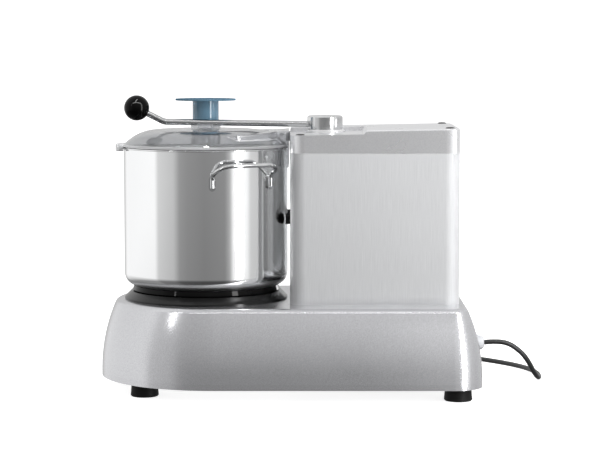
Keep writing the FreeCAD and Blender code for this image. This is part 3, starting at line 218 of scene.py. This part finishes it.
# Darker copies of the clear resin for the dome's flank and the feed tube: painted shade
clear_flank_painted_shade = clear("clear_flank_painted_shade", (0.75, 0.76, 0.775))
clear_edge = moulded("clear_edge", (0.93, 0.935, 0.95), rough=(0.08, 0.14), strength=0.0,
                     Transmission_Weight=0.25)
clear_tab = moulded("clear_tab", (0.95, 0.955, 0.97), rough=(0.1, 0.16), strength=0.0,
                    Transmission_Weight=0.1)
clear_tube_painted_shade = moulded("clear_tube_painted_shade", (0.5, 0.505, 0.52), rough=(0.08, 0.14), strength=0.0,
                     Transmission_Weight=0.4)
clear_fin = moulded("clear_fin", (0.84, 0.85, 0.87), rough=(0.03, 0.06), strength=0.0,
                    Transmission_Weight=0.82)
blue_resin = moulded("blue_resin", (0.125, 0.23, 0.315), rough=(0.06, 0.1), strength=0.02)
blue_disc = moulded("blue_disc", (0.115, 0.205, 0.28), rough=(0.3, 0.4), strength=0.05,
                    Specular_IOR_Level=0.0)
black_gloss = moulded("black_gloss", (0.002, 0.002, 0.002), rough=(0.03, 0.05), strength=0.0,
                      Specular_IOR_Level=0.1)
black_resin = moulded("black_resin", (0.006, 0.006, 0.006), rough=(0.12, 0.2), strength=0.05,
                      Specular_IOR_Level=0.3)
black_rubber = moulded("black_rubber", (0.01, 0.01, 0.0095), rough=(0.5, 0.62), grain=0.6 * MM,
                       strength=0.3, Specular_IOR_Level=0.15)
cord_rubber = moulded("cord_rubber", (0.02, 0.02, 0.02), rough=(0.3, 0.42), strength=0.1)
grey_resin = moulded("grey_resin", (0.12, 0.125, 0.13))
pale_resin = moulded("pale_resin", (0.6, 0.61, 0.63), rough=(0.3, 0.4))
zinc = brushed("zinc_steel", (0.66, 0.67, 0.68), (0.55, 0.56, 0.57), along=(1, 1, 1))
blade = brushed("blade_steel", (0.8, 0.805, 0.81), (0.7, 0.71, 0.72), along=(0.05, 1, 1))
raw_cast = cast_paint("raw_casting", (0.55, 0.55, 0.55), (0.42, 0.42, 0.42), grain=1.5 * MM)
motor_paint = moulded("motor_paint", (0.08, 0.09, 0.11), rough=(0.4, 0.55), grain=1.2 * MM, strength=0.3)
bronze = brushed("bush_bronze", (0.55, 0.4, 0.22), (0.45, 0.32, 0.17), along=(1, 1, 1))
green_resin = moulded("green_resin", (0.02, 0.3, 0.07), rough=(0.2, 0.3))
red_resin = moulded("red_resin", (0.55, 0.02, 0.015), rough=(0.2, 0.3))

plug_rubber = moulded("plug_rubber", (0.02, 0.02, 0.02), rough=(0.35, 0.45), strength=0.1)

# Painted sheen: the column's side towards the bowl gets a lighter tone. Real metal: the plug's pins
PAINTED_SHEEN_DEPTH = 0.5 * MM
PLUG_PIN = 19 * MM
# The column side's lighter tone is painted sheen that brightens it where the bowl reflects it
metal_or_painted_sheen_below(sheet, column_left + PAINTED_SHEEN_DEPTH, tone=(0.9, 0.905, 0.91), rough=0.14)
metal_or_painted_sheen_below(plug_rubber, corners("power_plug")[0].x + PLUG_PIN, tone=(0.75, 0.72, 0.64), rough=0.25)

FINISHES = {
    casting: ["base_housing"],
    cap_casting: ["column_cap"],
    sheet: ["column_body", "switch_bracket", "control_panel", "bottom_cover"],
    mirror: ["bowl", "button_bezels"],
    wire_steel: ["bowl_handles"],
    hub_steel: ["lever_hub"],
    rod_steel: ["lever_rod"],
    satin: ["hub_ring"],
    clear_resin: ["lid"],
    clear_fin: ["lid_bracket", "rod_pad"],
    blue_resin: ["pusher"],
    black_gloss: ["ball_knob", "pulse_button", "bowl_base_ring"],
    black_resin: ["seat_ring", "cap_plugs", "knife_hub", "knife_cap", "motor_fan"],
    black_rubber: ["rubber_feet", "bowl_bumpers", "shaft_seal", "drive_belt", "lid_seal"],
    cord_rubber: ["power_cord", "cord_coil"],
    plug_rubber: ["power_plug"],
    grey_resin: ["lid_switch", "contactor", "switch_blocks"],
    pale_resin: ["cable_gland"],
    zinc: ["lid_magnet", "foot_screws", "housing_bolts", "shaft_bearings", "motor_bolts", "tie_rods",
           "lever_spindle", "spindle_nut", "drive_shaft"],
    blade: ["lower_blade", "upper_blade"],
    raw_cast: ["bearing_housing", "motor_flange", "driven_pulley", "motor_pulley", "run_capacitor"],
    motor_paint: ["motor_housing", "fan_cover", "motor_rotor"],
    bronze: ["hub_bush"],
    green_resin: ["start_button"],
    red_resin: ["stop_button"],
}
for finish, names in FINISHES.items():
    for name in names:
        nodes[name].material_slots[0].material = finish


# Turned pieces, with the rounded edges that catch the light

ARC_STEPS = 16
ROUND_LEAST = 3
ROUND_STEPS_A_RADIAN = 5
LATHE_SHARP = 35
STRAP_SHARP = 40


def rounded(outline):
    """Points of a half section. A corner is (r, z), or (r, z, radius) where it is rounded off."""
    line = []
    for index, corner in enumerate(outline):
        here = Vector(corner[:2])
        if len(corner) == 2:
            line.append(here)
            continue
        before = (Vector(outline[index - 1][:2]) - here).normalized()
        after = (Vector(outline[(index + 1) % len(outline)][:2]) - here).normalized()
        half = before.angle(after) / 2
        reach = corner[2] / math.tan(half)
        centre = here + (before + after).normalized() * corner[2] / math.sin(half)
        first = here + before * reach - centre
        sweep = first.angle_signed(here + after * reach - centre)
        count = max(ROUND_LEAST, round(abs(sweep) * ROUND_STEPS_A_RADIAN))
        line += [centre + Matrix.Rotation(-sweep * step / count, 2) @ first for step in range(count + 1)]
    return line


def arc_line(start, end, radius):
    """Points from start to end on an arc that bulges to the left of the way for a positive radius."""
    start, end = Vector(start), Vector(end)
    chord = end - start
    side = Vector((-chord.y, chord.x)).normalized() * math.copysign(1, radius)
    centre = (start + end) / 2 - side * math.sqrt(radius ** 2 - chord.length_squared / 4)
    first = start - centre
    sweep = first.angle_signed(end - centre)
    return [centre + Matrix.Rotation(-sweep * step / ARC_STEPS, 2) @ first for step in range(ARC_STEPS + 1)]


def solid(name, shape, finishes, body, sharp):
    """Object from a bmesh, smooth but for the edges sharper than so many degrees, that rides on a body."""
    bmesh.ops.recalc_face_normals(shape, faces=shape.faces)
    mesh = bpy.data.meshes.new(name)
    shape.to_mesh(mesh)
    shape.free()
    mesh.shade_smooth()
    mesh.set_sharp_from_angle(angle=math.radians(sharp))
    for finish in finishes:
        mesh.materials.append(finish)
    made = bpy.data.objects.new(name, mesh)
    bpy.context.collection.objects.link(made)
    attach(made, body)
    return made


def turned(name, line, finishes, body, span=(0, 360), steps=160, slot_of=None):
    """Solid turned about the bowl's axis from a closed half section, the whole way round or over a span.
    The material of a face comes from slot_of, given the middle of its edge of the section."""
    whole = span[1] - span[0] >= 360
    count = steps if whole else steps + 1
    shape = bmesh.new()
    rows = []
    for step in range(count):
        angle = math.radians(span[0] + (span[1] - span[0]) * step / steps)
        cosine, sine = math.cos(angle), math.sin(angle)
        rows.append([shape.verts.new((bowl_axis.x + p.x * cosine, bowl_axis.y + p.x * sine, p.y))
                     for p in line])
    pairs = zip(rows, rows[1:] + rows[:1]) if whole else zip(rows, rows[1:])
    for here, there in pairs:
        for index in range(len(line)):
            following = (index + 1) % len(line)
            face = shape.faces.new((here[index], there[index], there[following], here[following]))
            if slot_of:
                face.material_index = slot_of((line[index] + line[following]) / 2)
    if not whole:
        shape.faces.new(rows[0])
        shape.faces.new(rows[-1])
    return solid(name, shape, finishes, body, LATHE_SHARP)


# Bowl

BOWL_WALL = 1.5 * MM
BOWL_RIM = 1.6 * MM
BOWL_CORNER = 18 * MM
BOWL_TUBE = 17 * MM
BOWL_TUBE_HEIGHT = 76 * MM


def bowl():
    """Spun steel bowl with a turned-out rim and the drive tube in the middle."""
    outer = bowl_radius - BOWL_RIM
    inner = outer - BOWL_WALL
    bore = BOWL_TUBE - BOWL_WALL
    floor, top = bowl_low.z, bowl_high.z
    tube_top = floor + BOWL_TUBE_HEIGHT
    line = rounded([
        (bore, floor, 0.4 * MM), (outer, floor, BOWL_CORNER), (outer, top - BOWL_RIM, 0.6 * MM),
        (bowl_radius, top - BOWL_RIM, 0.3 * MM), (bowl_radius, top, 0.7 * MM), (inner, top, 0.6 * MM),
        (inner, floor + BOWL_WALL, BOWL_CORNER - BOWL_WALL), (BOWL_TUBE, floor + BOWL_WALL, 4 * MM),
        (BOWL_TUBE, tube_top, 0.5 * MM), (bore, tube_top, 0.5 * MM)])

    def is_inside(spot):
        return int(spot.x < inner + 0.1 * MM and spot.y > floor + 0.5 * MM)

    made = turned("spun_bowl", line, [mirror, bowl_inside], "work_bowl", steps=240, slot_of=is_inside)
    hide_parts("bowl")


# Lid: flange on the seal, shoulder, crowned top, feed tube with its collar, and the grip tab

LID_WALL = 3 * MM
LID_FLANGE = 2.4 * MM
LID_SHOULDER = 64.1 * MM
LID_DOME_WIDTH = 49.6 * MM
LID_COLLAR = 5.5 * MM
LID_CROWN = 1.6 * MM
SKIRT_GAP = 0.9 * MM
SKIRT_PLAY = 0.5 * MM
FEED_RADIUS = 20.9 * MM
FEED_BORE = 18.9 * MM
FEED_STOP = 3.4 * MM
FEED_STOP_HEIGHT = 2 * MM
FEED_DEPTH = 20 * MM
FEED_FOOT = 3 * MM
TAB_WIDTH = 66 * MM
TAB_DROP = 9.5 * MM
TAB_LAP = 0.6 * MM
WEB_GAP = 0.1 * MM
WEB_TURN = 1.5

lid_low, lid_high = corners("lid")
lid_outer = (lid_high.y - lid_low.y) / 2
lid_seat = corners("lid_seal")[1].z
lid_foot = lid_seat + LID_FLANGE
lid_top = lid_high.z - LID_COLLAR
dome_top = lid_top - LID_CROWN
dome_flat = lid_outer - LID_DOME_WIDTH
dome_foot = dome_flat + math.sqrt(LID_SHOULDER ** 2 - (LID_SHOULDER - (dome_top - lid_foot)) ** 2)


def lid_section():
    """Half section of the lid, from the inside of its seat round the outside and back."""
    inner = LID_SHOULDER - LID_WALL
    inner_foot = dome_flat + math.sqrt(inner ** 2 - (lid_seat - dome_top + LID_SHOULDER) ** 2)
    skirt = bowl_radius + SKIRT_PLAY
    hem = bowl_high.z + SKIRT_GAP
    crown = ((dome_flat - FEED_RADIUS) ** 2 + LID_CROWN ** 2) / (2 * LID_CROWN)
    collar = FEED_RADIUS + FEED_FOOT
    under = lid_top - LID_WALL
    feed_end = lid_top - FEED_DEPTH
    stop_top = feed_end + FEED_STOP_HEIGHT
    stop = FEED_BORE - FEED_STOP
    line = rounded([(inner_foot, lid_seat), (skirt, lid_seat), (skirt, hem), (lid_outer, hem, 0.5 * MM),
                    (lid_outer, lid_foot, 0.8 * MM), (dome_foot, lid_foot)])
    line += arc_line((dome_foot, lid_foot), (dome_flat, dome_top), -LID_SHOULDER)[1:]
    line += arc_line((dome_flat, dome_top), (collar, lid_top - 0.01 * MM), -crown)[1:-1]
    line += rounded([(collar, lid_top), (FEED_RADIUS, lid_top, 1.5 * MM),
                     (FEED_RADIUS, lid_high.z, 0.7 * MM), (FEED_BORE, lid_high.z, 0.7 * MM),
                     (FEED_BORE, stop_top), (stop, stop_top),
                     (stop, feed_end, 0.5 * MM), (FEED_RADIUS, feed_end, 0.5 * MM),
                     (FEED_RADIUS, under, 1 * MM), (collar, under)])[1:]
    line += arc_line((collar, under), (dome_flat, dome_top - LID_WALL), crown)[1:-1]
    line += arc_line((dome_flat, dome_top - LID_WALL), (inner_foot, lid_seat), inner)[:-1]
    return line


def lid():
    """Clear dome, flange and feed tube in one piece; thick edges less clear, darker flank and tube painted
    shade.
    """
    def finish_at(spot):
        if spot.x > dome_foot - 1 * MM:
            return 1
        # The flank takes the darker clear resin: painted shade
        if spot.x > dome_flat + LID_WALL:
            return 3
        if spot.x > FEED_RADIUS + 1.4 * MM:
            return 0
        # Below the top the feed tube takes a darker grey: painted shade
        return 1 if spot.y > lid_top - 1 * MM else 2

    finishes = [clear_resin, clear_edge, clear_tube_painted_shade, clear_flank_painted_shade]
    made = turned("clear_dome", lid_section(), finishes, "lid_cover", steps=240, slot_of=finish_at)
    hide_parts("lid")
    made.visible_shadow = False
    return made


def grip_tab():
    """Grip tab on the lid's left, with a web at each end that ties its lip to the flange."""
    reach = bowl_axis.x - lid_low.x
    inside = reach - LID_WALL
    under = lid_foot - LID_FLANGE
    lip = lid_foot - TAB_DROP
    half = math.degrees(math.asin(TAB_WIDTH / 2 / reach))
    section = rounded([(lid_outer - TAB_LAP, under), (inside, under, 1 * MM), (inside, lip, 0.8 * MM),
                       (reach, lip, 0.8 * MM), (reach, lid_foot, 1.6 * MM), (lid_outer - TAB_LAP, lid_foot)])
    tab = turned("lid_tab", section, [clear_tab], "lid_cover", span=(180 - half, 180 + half), steps=24)
    end = rounded([(lid_outer + WEB_GAP, under), (inside, under), (inside, lip), (lid_outer + WEB_GAP, lip)])
    for start in (180 - half, 180 + half - WEB_TURN):
        web = turned("tab_web", end, [clear_edge], "lid_cover", span=(start, start + WEB_TURN), steps=4)


# Pusher

PUSHER_DISC = 2.3 * MM
PUSHER_WALL = 2.2 * MM
PUSHER_RADIUS = 18.4 * MM
AXIS_GAP = 0.2 * MM


def pusher():
    """Thin-walled tube under a flat disc with a rolled edge."""
    low, high = corners("pusher")
    disc = (high.y - low.y) / 2
    under = high.z - PUSHER_DISC
    bore = PUSHER_RADIUS - PUSHER_WALL
    line = rounded([(AXIS_GAP, under), (bore, under, 1 * MM), (bore, low.z, 0.5 * MM),
                    (PUSHER_RADIUS, low.z, 0.5 * MM), (PUSHER_RADIUS, under, 1.2 * MM),
                    (disc, under, 0.5 * MM), (disc, high.z, 0.7 * MM), (AXIS_GAP, high.z)])
    made = turned("pusher_shell", line, [blue_resin, blue_disc], "food_pusher", steps=96,
                  slot_of=lambda spot: int(spot.y > under - 0.2 * MM))
    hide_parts("pusher")
    return made


# Mains lead: the route's points as in the CAD source, then the coil's turns and the run into the plug

CORD_DIAMETER = 7 * MM
CORD_LIE = CORD_DIAMETER / 2 + 0.1 * MM
ROUTE = [(277.5, 0, 62), (288, 0, 63.4), (311.5, 0.5, 62), (331, 2.5, 48), (341.5, 6, 34.5), (353, 17, 13),
         (362, 43, 3.6), (365, 80, 3.6), (360, 120, 3.6), (343, 160, 3.6), (316, 198, 3.6), (284, 232, 3.6),
         (248, 256, 3.6)]
COIL_LAYER = 2
COIL_STEPS = 16
COIL_LEAD = -0.8
COIL_CLIMB = 0.17
COIL_PITCH = CORD_DIAMETER + 0.25 * MM
PLUG_EXIT = 7.5 * MM
PLUG_LEAD = Vector((6, 0.4, 0)) * MM

coil_low, coil_high = corners("cord_coil")
coil_centre = (coil_low + coil_high) / 2
plug_low, plug_high = corners("power_plug")
plug_tail = Vector((plug_high.x, coil_high.y - PLUG_EXIT, (plug_low.z + plug_high.z) / 2))


def coil_turns():
    """Two turns that wind inwards on the table and two that wind outwards on top of them."""
    outer = coil_high.x - coil_centre.x - CORD_DIAMETER / 2
    # A curve of third order runs inside its points, so they lie further out
    bulge = 1 / (0.75 + 0.25 * math.cos(2 * math.pi / COIL_STEPS))
    turns = []
    for step in [COIL_LEAD, *range(2 * COIL_LAYER * COIL_STEPS + 1)]:
        turn = step / COIL_STEPS
        inward = min(turn, COIL_LAYER)
        outward = max(0, turn - COIL_LAYER - COIL_CLIMB) * COIL_LAYER / (COIL_LAYER - COIL_CLIMB)
        climb = min(max((turn - COIL_LAYER) / COIL_CLIMB, 0), 1)
        radius = (outer - COIL_PITCH * inward + COIL_PITCH * outward) * bulge
        angle = math.pi / 2 + 2 * math.pi * turn
        turns.append((coil_centre.x + radius * math.cos(angle), coil_centre.y + radius * math.sin(angle),
                      CORD_LIE + COIL_PITCH * climb))
    return turns


def cord():
    """Mains lead from the gland over the table into its coil and the plug."""
    turns = coil_turns()
    points = [Vector(point) * MM for point in ROUTE] + turns
    points.append(Vector(turns[-1]).lerp(plug_tail, 0.4) + Vector((0, 1, 0)) * MM)
    points += [plug_tail + PLUG_LEAD, plug_tail]
    curve = bpy.data.curves.new("mains_cord", "CURVE")
    curve.dimensions = "3D"
    curve.bevel_depth = CORD_DIAMETER / 2
    curve.bevel_resolution = 6
    curve.use_fill_caps = True
    spline = curve.splines.new("NURBS")
    spline.points.add(len(points) - 1)
    for point, spot in zip(spline.points, points):
        point.co = (*spot, 1)
    spline.order_u = 3
    spline.use_endpoint_u = True
    spline.resolution_u = 8
    curve.materials.append(cord_rubber)
    made = bpy.data.objects.new("mains_cord", curve)
    bpy.context.collection.objects.link(made)
    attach(made, "base")
    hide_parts("power_cord", "cord_coil")
    tie()


TIE_TURN = -60
TIE_REACH = 15.4 * MM
TIE_PLAY = 0.4 * MM
TIE_LIFT = 0.05 * MM
TIE_CROWN = 1.1 * MM
TIE_WALL = 0.9 * MM
TIE_WIDTH = 4.5 * MM
TIE_ROUND = 2.5 * MM
TIE_HOLE_ROUND = 2 * MM


def tie():
    """Strap round the coil's turns."""
    def frame_line(inset, radius):
        inner = coil_high.x - coil_centre.x - TIE_REACH + inset
        outer = coil_high.x - coil_centre.x + TIE_PLAY - inset
        low, high = TIE_LIFT + inset, coil_high.z + TIE_CROWN - inset
        return rounded([(inner, low, radius), (outer, low, radius), (outer, high, radius),
                        (inner, high, radius)])

    line = frame_line(0, TIE_ROUND)
    hole = frame_line(TIE_WALL, TIE_HOLE_ROUND)
    turn = math.radians(TIE_TURN)
    out = Vector((math.cos(turn), math.sin(turn), 0))
    side = Vector((-out.y, out.x, 0)) * TIE_WIDTH / 2
    centre = Vector((coil_centre.x, coil_centre.y, 0))
    shape = bmesh.new()
    loops = []
    for section, shift in ((line, -side), (line, side), (hole, side), (hole, -side)):
        loops.append([shape.verts.new(centre + out * p.x + shift + Vector((0, 0, p.y))) for p in section])
    for here, there in zip(loops, loops[1:] + loops[:1]):
        for index in range(len(line)):
            following = (index + 1) % len(line)
            shape.faces.new((here[index], here[following], there[following], there[index]))
    made = solid("coil_tie", shape, [black_resin], "base", STRAP_SHARP)
    return made


# Room, light and camera

PAPER_RADIUS = 9.0
PAPER_HEIGHT = 9.0
PAPER_SIDES = 96
PAPER_GLOW = 0.82


def backdrop():
    """Plain white floor and wall all round. Only the camera sees them, so they light nothing."""
    ring = [(PAPER_RADIUS * math.cos(2 * math.pi * side / PAPER_SIDES),
             PAPER_RADIUS * math.sin(2 * math.pi * side / PAPER_SIDES)) for side in range(PAPER_SIDES)]
    vertices = [(x, y, z) for z in (0, PAPER_HEIGHT) for x, y in ring]
    faces = [tuple(range(PAPER_SIDES)), tuple(range(PAPER_SIDES, 2 * PAPER_SIDES))]
    for side in range(PAPER_SIDES):
        following = (side + 1) % PAPER_SIDES
        faces.append((side, following, following + PAPER_SIDES, side + PAPER_SIDES))
    mesh = bpy.data.meshes.new("floor_and_wall")
    mesh.from_pydata(vertices, [], faces)
    mesh.materials.append(new_material("white_paper", Base_Color=(0.8, 0.8, 0.8), Roughness=1.0,
                                       Specular_IOR_Level=0.0, Emission_Color=(1.0, 1.0, 1.0),
                                       Emission_Strength=PAPER_GLOW))
    made = bpy.data.objects.new("floor_and_wall", mesh)
    bpy.context.collection.objects.link(made)
    made.visible_glossy = False
    made.visible_diffuse = False
    made.visible_transmission = False
    made.visible_shadow = False


LIGHT_TARGET = Vector((0, 0, 0.2))


def soft_box(name, turn, lift, distance, size, light, sheen_only=False, pieces=None, spared=None,
             through=False):
    """Area light of (width, height) that faces the object. Turn, to the right of straight ahead, and lift
    are in degrees, light is its brightness. Pieces are the only ones that it lights, spared ones are those
    that it doesn't. Through lets it pass the rest of the object."""
    width, height = size
    lamp = bpy.data.lights.new(name, "AREA")
    lamp.shape = "RECTANGLE"
    lamp.size = width
    lamp.size_y = height
    lamp.energy = light * width * height * math.pi
    made = bpy.data.objects.new(name, lamp)
    bpy.context.collection.objects.link(made)
    turn, lift = math.radians(turn), math.radians(lift)
    away = Vector((math.sin(turn) * math.cos(lift), -math.cos(turn) * math.cos(lift), math.sin(lift)))
    made.location = LIGHT_TARGET + away * distance
    made.rotation_euler = (-away).to_track_quat("-Z", "Y").to_euler()
    made.visible_camera = False
    made.visible_diffuse = not sheen_only
    if pieces or spared:
        lit = bpy.data.collections.new(name + "_receivers")
        for piece in pieces or spared:
            lit.objects.link(piece)
        for link in lit.collection_objects:
            link.light_linking.link_state = "INCLUDE" if pieces else "EXCLUDE"
        made.light_linking.receiver_collection = lit
        if through:
            made.light_linking.blocker_collection = lit


def lights(dome, feed_tube):
    """Bright strips as in a photo studio. Those that name pieces set one reflection each."""
    column_body, column_cap = nodes["column_body"], nodes["column_cap"]
    column = [column_body, column_cap]
    sparkling = [nodes["ball_knob"], nodes["cap_plugs"], feed_tube, dome]
    soft_box("side_strip", turn=45, lift=14, distance=1.2, size=(0.2, 1.3), light=15.0,
             spared=column + [nodes["hub_ring"], dome])
    soft_box("column_strip", turn=76, lift=6, distance=1.5, size=(0.12, 1.2), light=14.0,
             pieces=[column_cap])
    soft_box("column_fill", turn=50, lift=10, distance=1.3, size=(0.3, 1.2), light=8.6,
             pieces=[column_body, nodes["hub_ring"]])
    soft_box("gap_fill", turn=-144, lift=4, distance=1.5, size=(0.7, 1.2), light=6.0, pieces=[column_body],
             through=True)
    soft_box("right_fill", turn=24, lift=5, distance=1.5, size=(0.8, 1.2), light=0.28,
             pieces=column + [nodes["base_housing"]])
    soft_box("top_strip", turn=2, lift=54, distance=1.9, size=(2.4, 0.14), light=40.0, sheen_only=True,
             pieces=sparkling)
    soft_box("left_strip", turn=-25, lift=72, distance=1.9, size=(0.14, 0.9), light=40.0, sheen_only=True,
             pieces=sparkling)
    soft_box("edge_strip", turn=2, lift=50, distance=1.9, size=(2.4, 0.03), light=9.0, sheen_only=True)
    soft_box("nose_strip", turn=-51, lift=32, distance=2.0, size=(0.06, 0.8), light=12.0, sheen_only=True)


# Brightness of the studio at the object's height and of its ceiling, both against the turn in degrees
# to the right of straight ahead
STUDIO = [(-180, 0.6), (-158, 0.65), (-146, 1.05), (-74, 1.12), (-68, 0.74), (-44, 0.62), (-35, 0.36),
          (-24, 0.31), (0, 0.27), (29, 0.3), (36, 0.5), (41, 1.1), (62, 1.1), (68, 0.72), (95, 0.6),
          (146, 0.7), (158, 0.65), (180, 0.6)]
CEILING_LIGHT = [(-180, 0.85), (-130, 0.9), (-74, 1.15), (-64, 0.8), (-40, 0.72), (-8, 0.78), (8, 1.1),
                 (30, 1.1), (60, 1.0), (180, 0.85)]
# Share of the ceiling in the light, and what is left of the light, both against the lift in degrees
CEILING = [(-90, 0), (-2, 0), (14, 0.35), (45, 0.75), (90, 1)]
FALL = [(-90, 0.3), (-40, 0.24), (-25, 0.26), (-9, 1), (90, 1)]
TURNS = (-180, 180)
LIFTS = (-90, 90)


class World:
    """Short way to build the world's node tree."""

    def __init__(self, name):
        made = bpy.data.worlds.new(name)
        bpy.context.scene.world = made
        made.use_nodes = True
        self.tree = made.node_tree
        self.background = self.tree.nodes["Background"]

    def maths(self, operation, *values):
        made = self.tree.nodes.new("ShaderNodeMath")
        made.operation = operation
        for socket, value in zip(made.inputs, values):
            if isinstance(value, bpy.types.NodeSocket):
                self.tree.links.new(value, socket)
            else:
                socket.default_value = value
        return made.outputs[0]

    def ramp(self, angle, reach, stops):
        """Brightness against an angle in radians, from (degrees, brightness) pairs."""
        low, high = reach
        share = self.tree.nodes.new("ShaderNodeMapRange")
        share.inputs["From Min"].default_value = math.radians(low)
        share.inputs["From Max"].default_value = math.radians(high)
        self.tree.links.new(angle, share.inputs["Value"])
        ramp = self.tree.nodes.new("ShaderNodeValToRGB")
        self.tree.links.new(share.outputs["Result"], ramp.inputs["Fac"])
        made = ramp.color_ramp.elements
        while len(made) < len(stops):
            made.new(0.5)
        for stop, (degrees, light) in zip(made, stops):
            stop.position = (degrees - low) / (high - low)
            stop.color = (light, light, light, 1)
        return ramp.outputs["Color"]


def studio():
    """World light: brightness that changes with the direction round the object and with the lift."""
    world = World("studio")
    spot = world.tree.nodes.new("ShaderNodeTexCoord")
    parts = world.tree.nodes.new("ShaderNodeSeparateXYZ")
    world.tree.links.new(spot.outputs["Generated"], parts.inputs[0])
    x, y, z = parts.outputs
    turn = world.maths("ARCTAN2", x, world.maths("MULTIPLY", y, -1))
    lift = world.maths("ARCSINE", z)
    level = world.ramp(turn, TURNS, STUDIO)
    ceiling = world.ramp(turn, TURNS, CEILING_LIGHT)
    over = world.ramp(lift, LIFTS, CEILING)
    fall = world.ramp(lift, LIFTS, FALL)
    mixed = world.maths("ADD", world.maths("MULTIPLY", level, world.maths("SUBTRACT", 1.0, over)),
                        world.maths("MULTIPLY", over, ceiling))
    world.tree.links.new(world.maths("MULTIPLY", mixed, fall), world.background.inputs["Color"])
    world.background.inputs["Strength"].default_value = 1.0


SENSOR_WIDTH = 36
LENS = 124.5
CAMERA_PLACE = (0.0159, -2.926, 0.4907)
CAMERA_TILT = 84.9


def camera():
    """Camera at the photo's angle."""
    data = bpy.data.cameras.new("camera")
    data.sensor_width = SENSOR_WIDTH
    data.lens = LENS
    made = bpy.data.objects.new("camera", data)
    bpy.context.collection.objects.link(made)
    made.location = CAMERA_PLACE
    made.rotation_euler = (math.radians(CAMERA_TILT), 0, 0)
    bpy.context.scene.camera = made


camera()
cord()
bowl()
dome = lid()
grip_tab()
feed_tube = pusher()
backdrop()
lights(dome, feed_tube)
studio()
bpy.context.scene.view_settings.view_transform = "Standard"
bpy.context.scene.cycles.glossy_bounces = 12
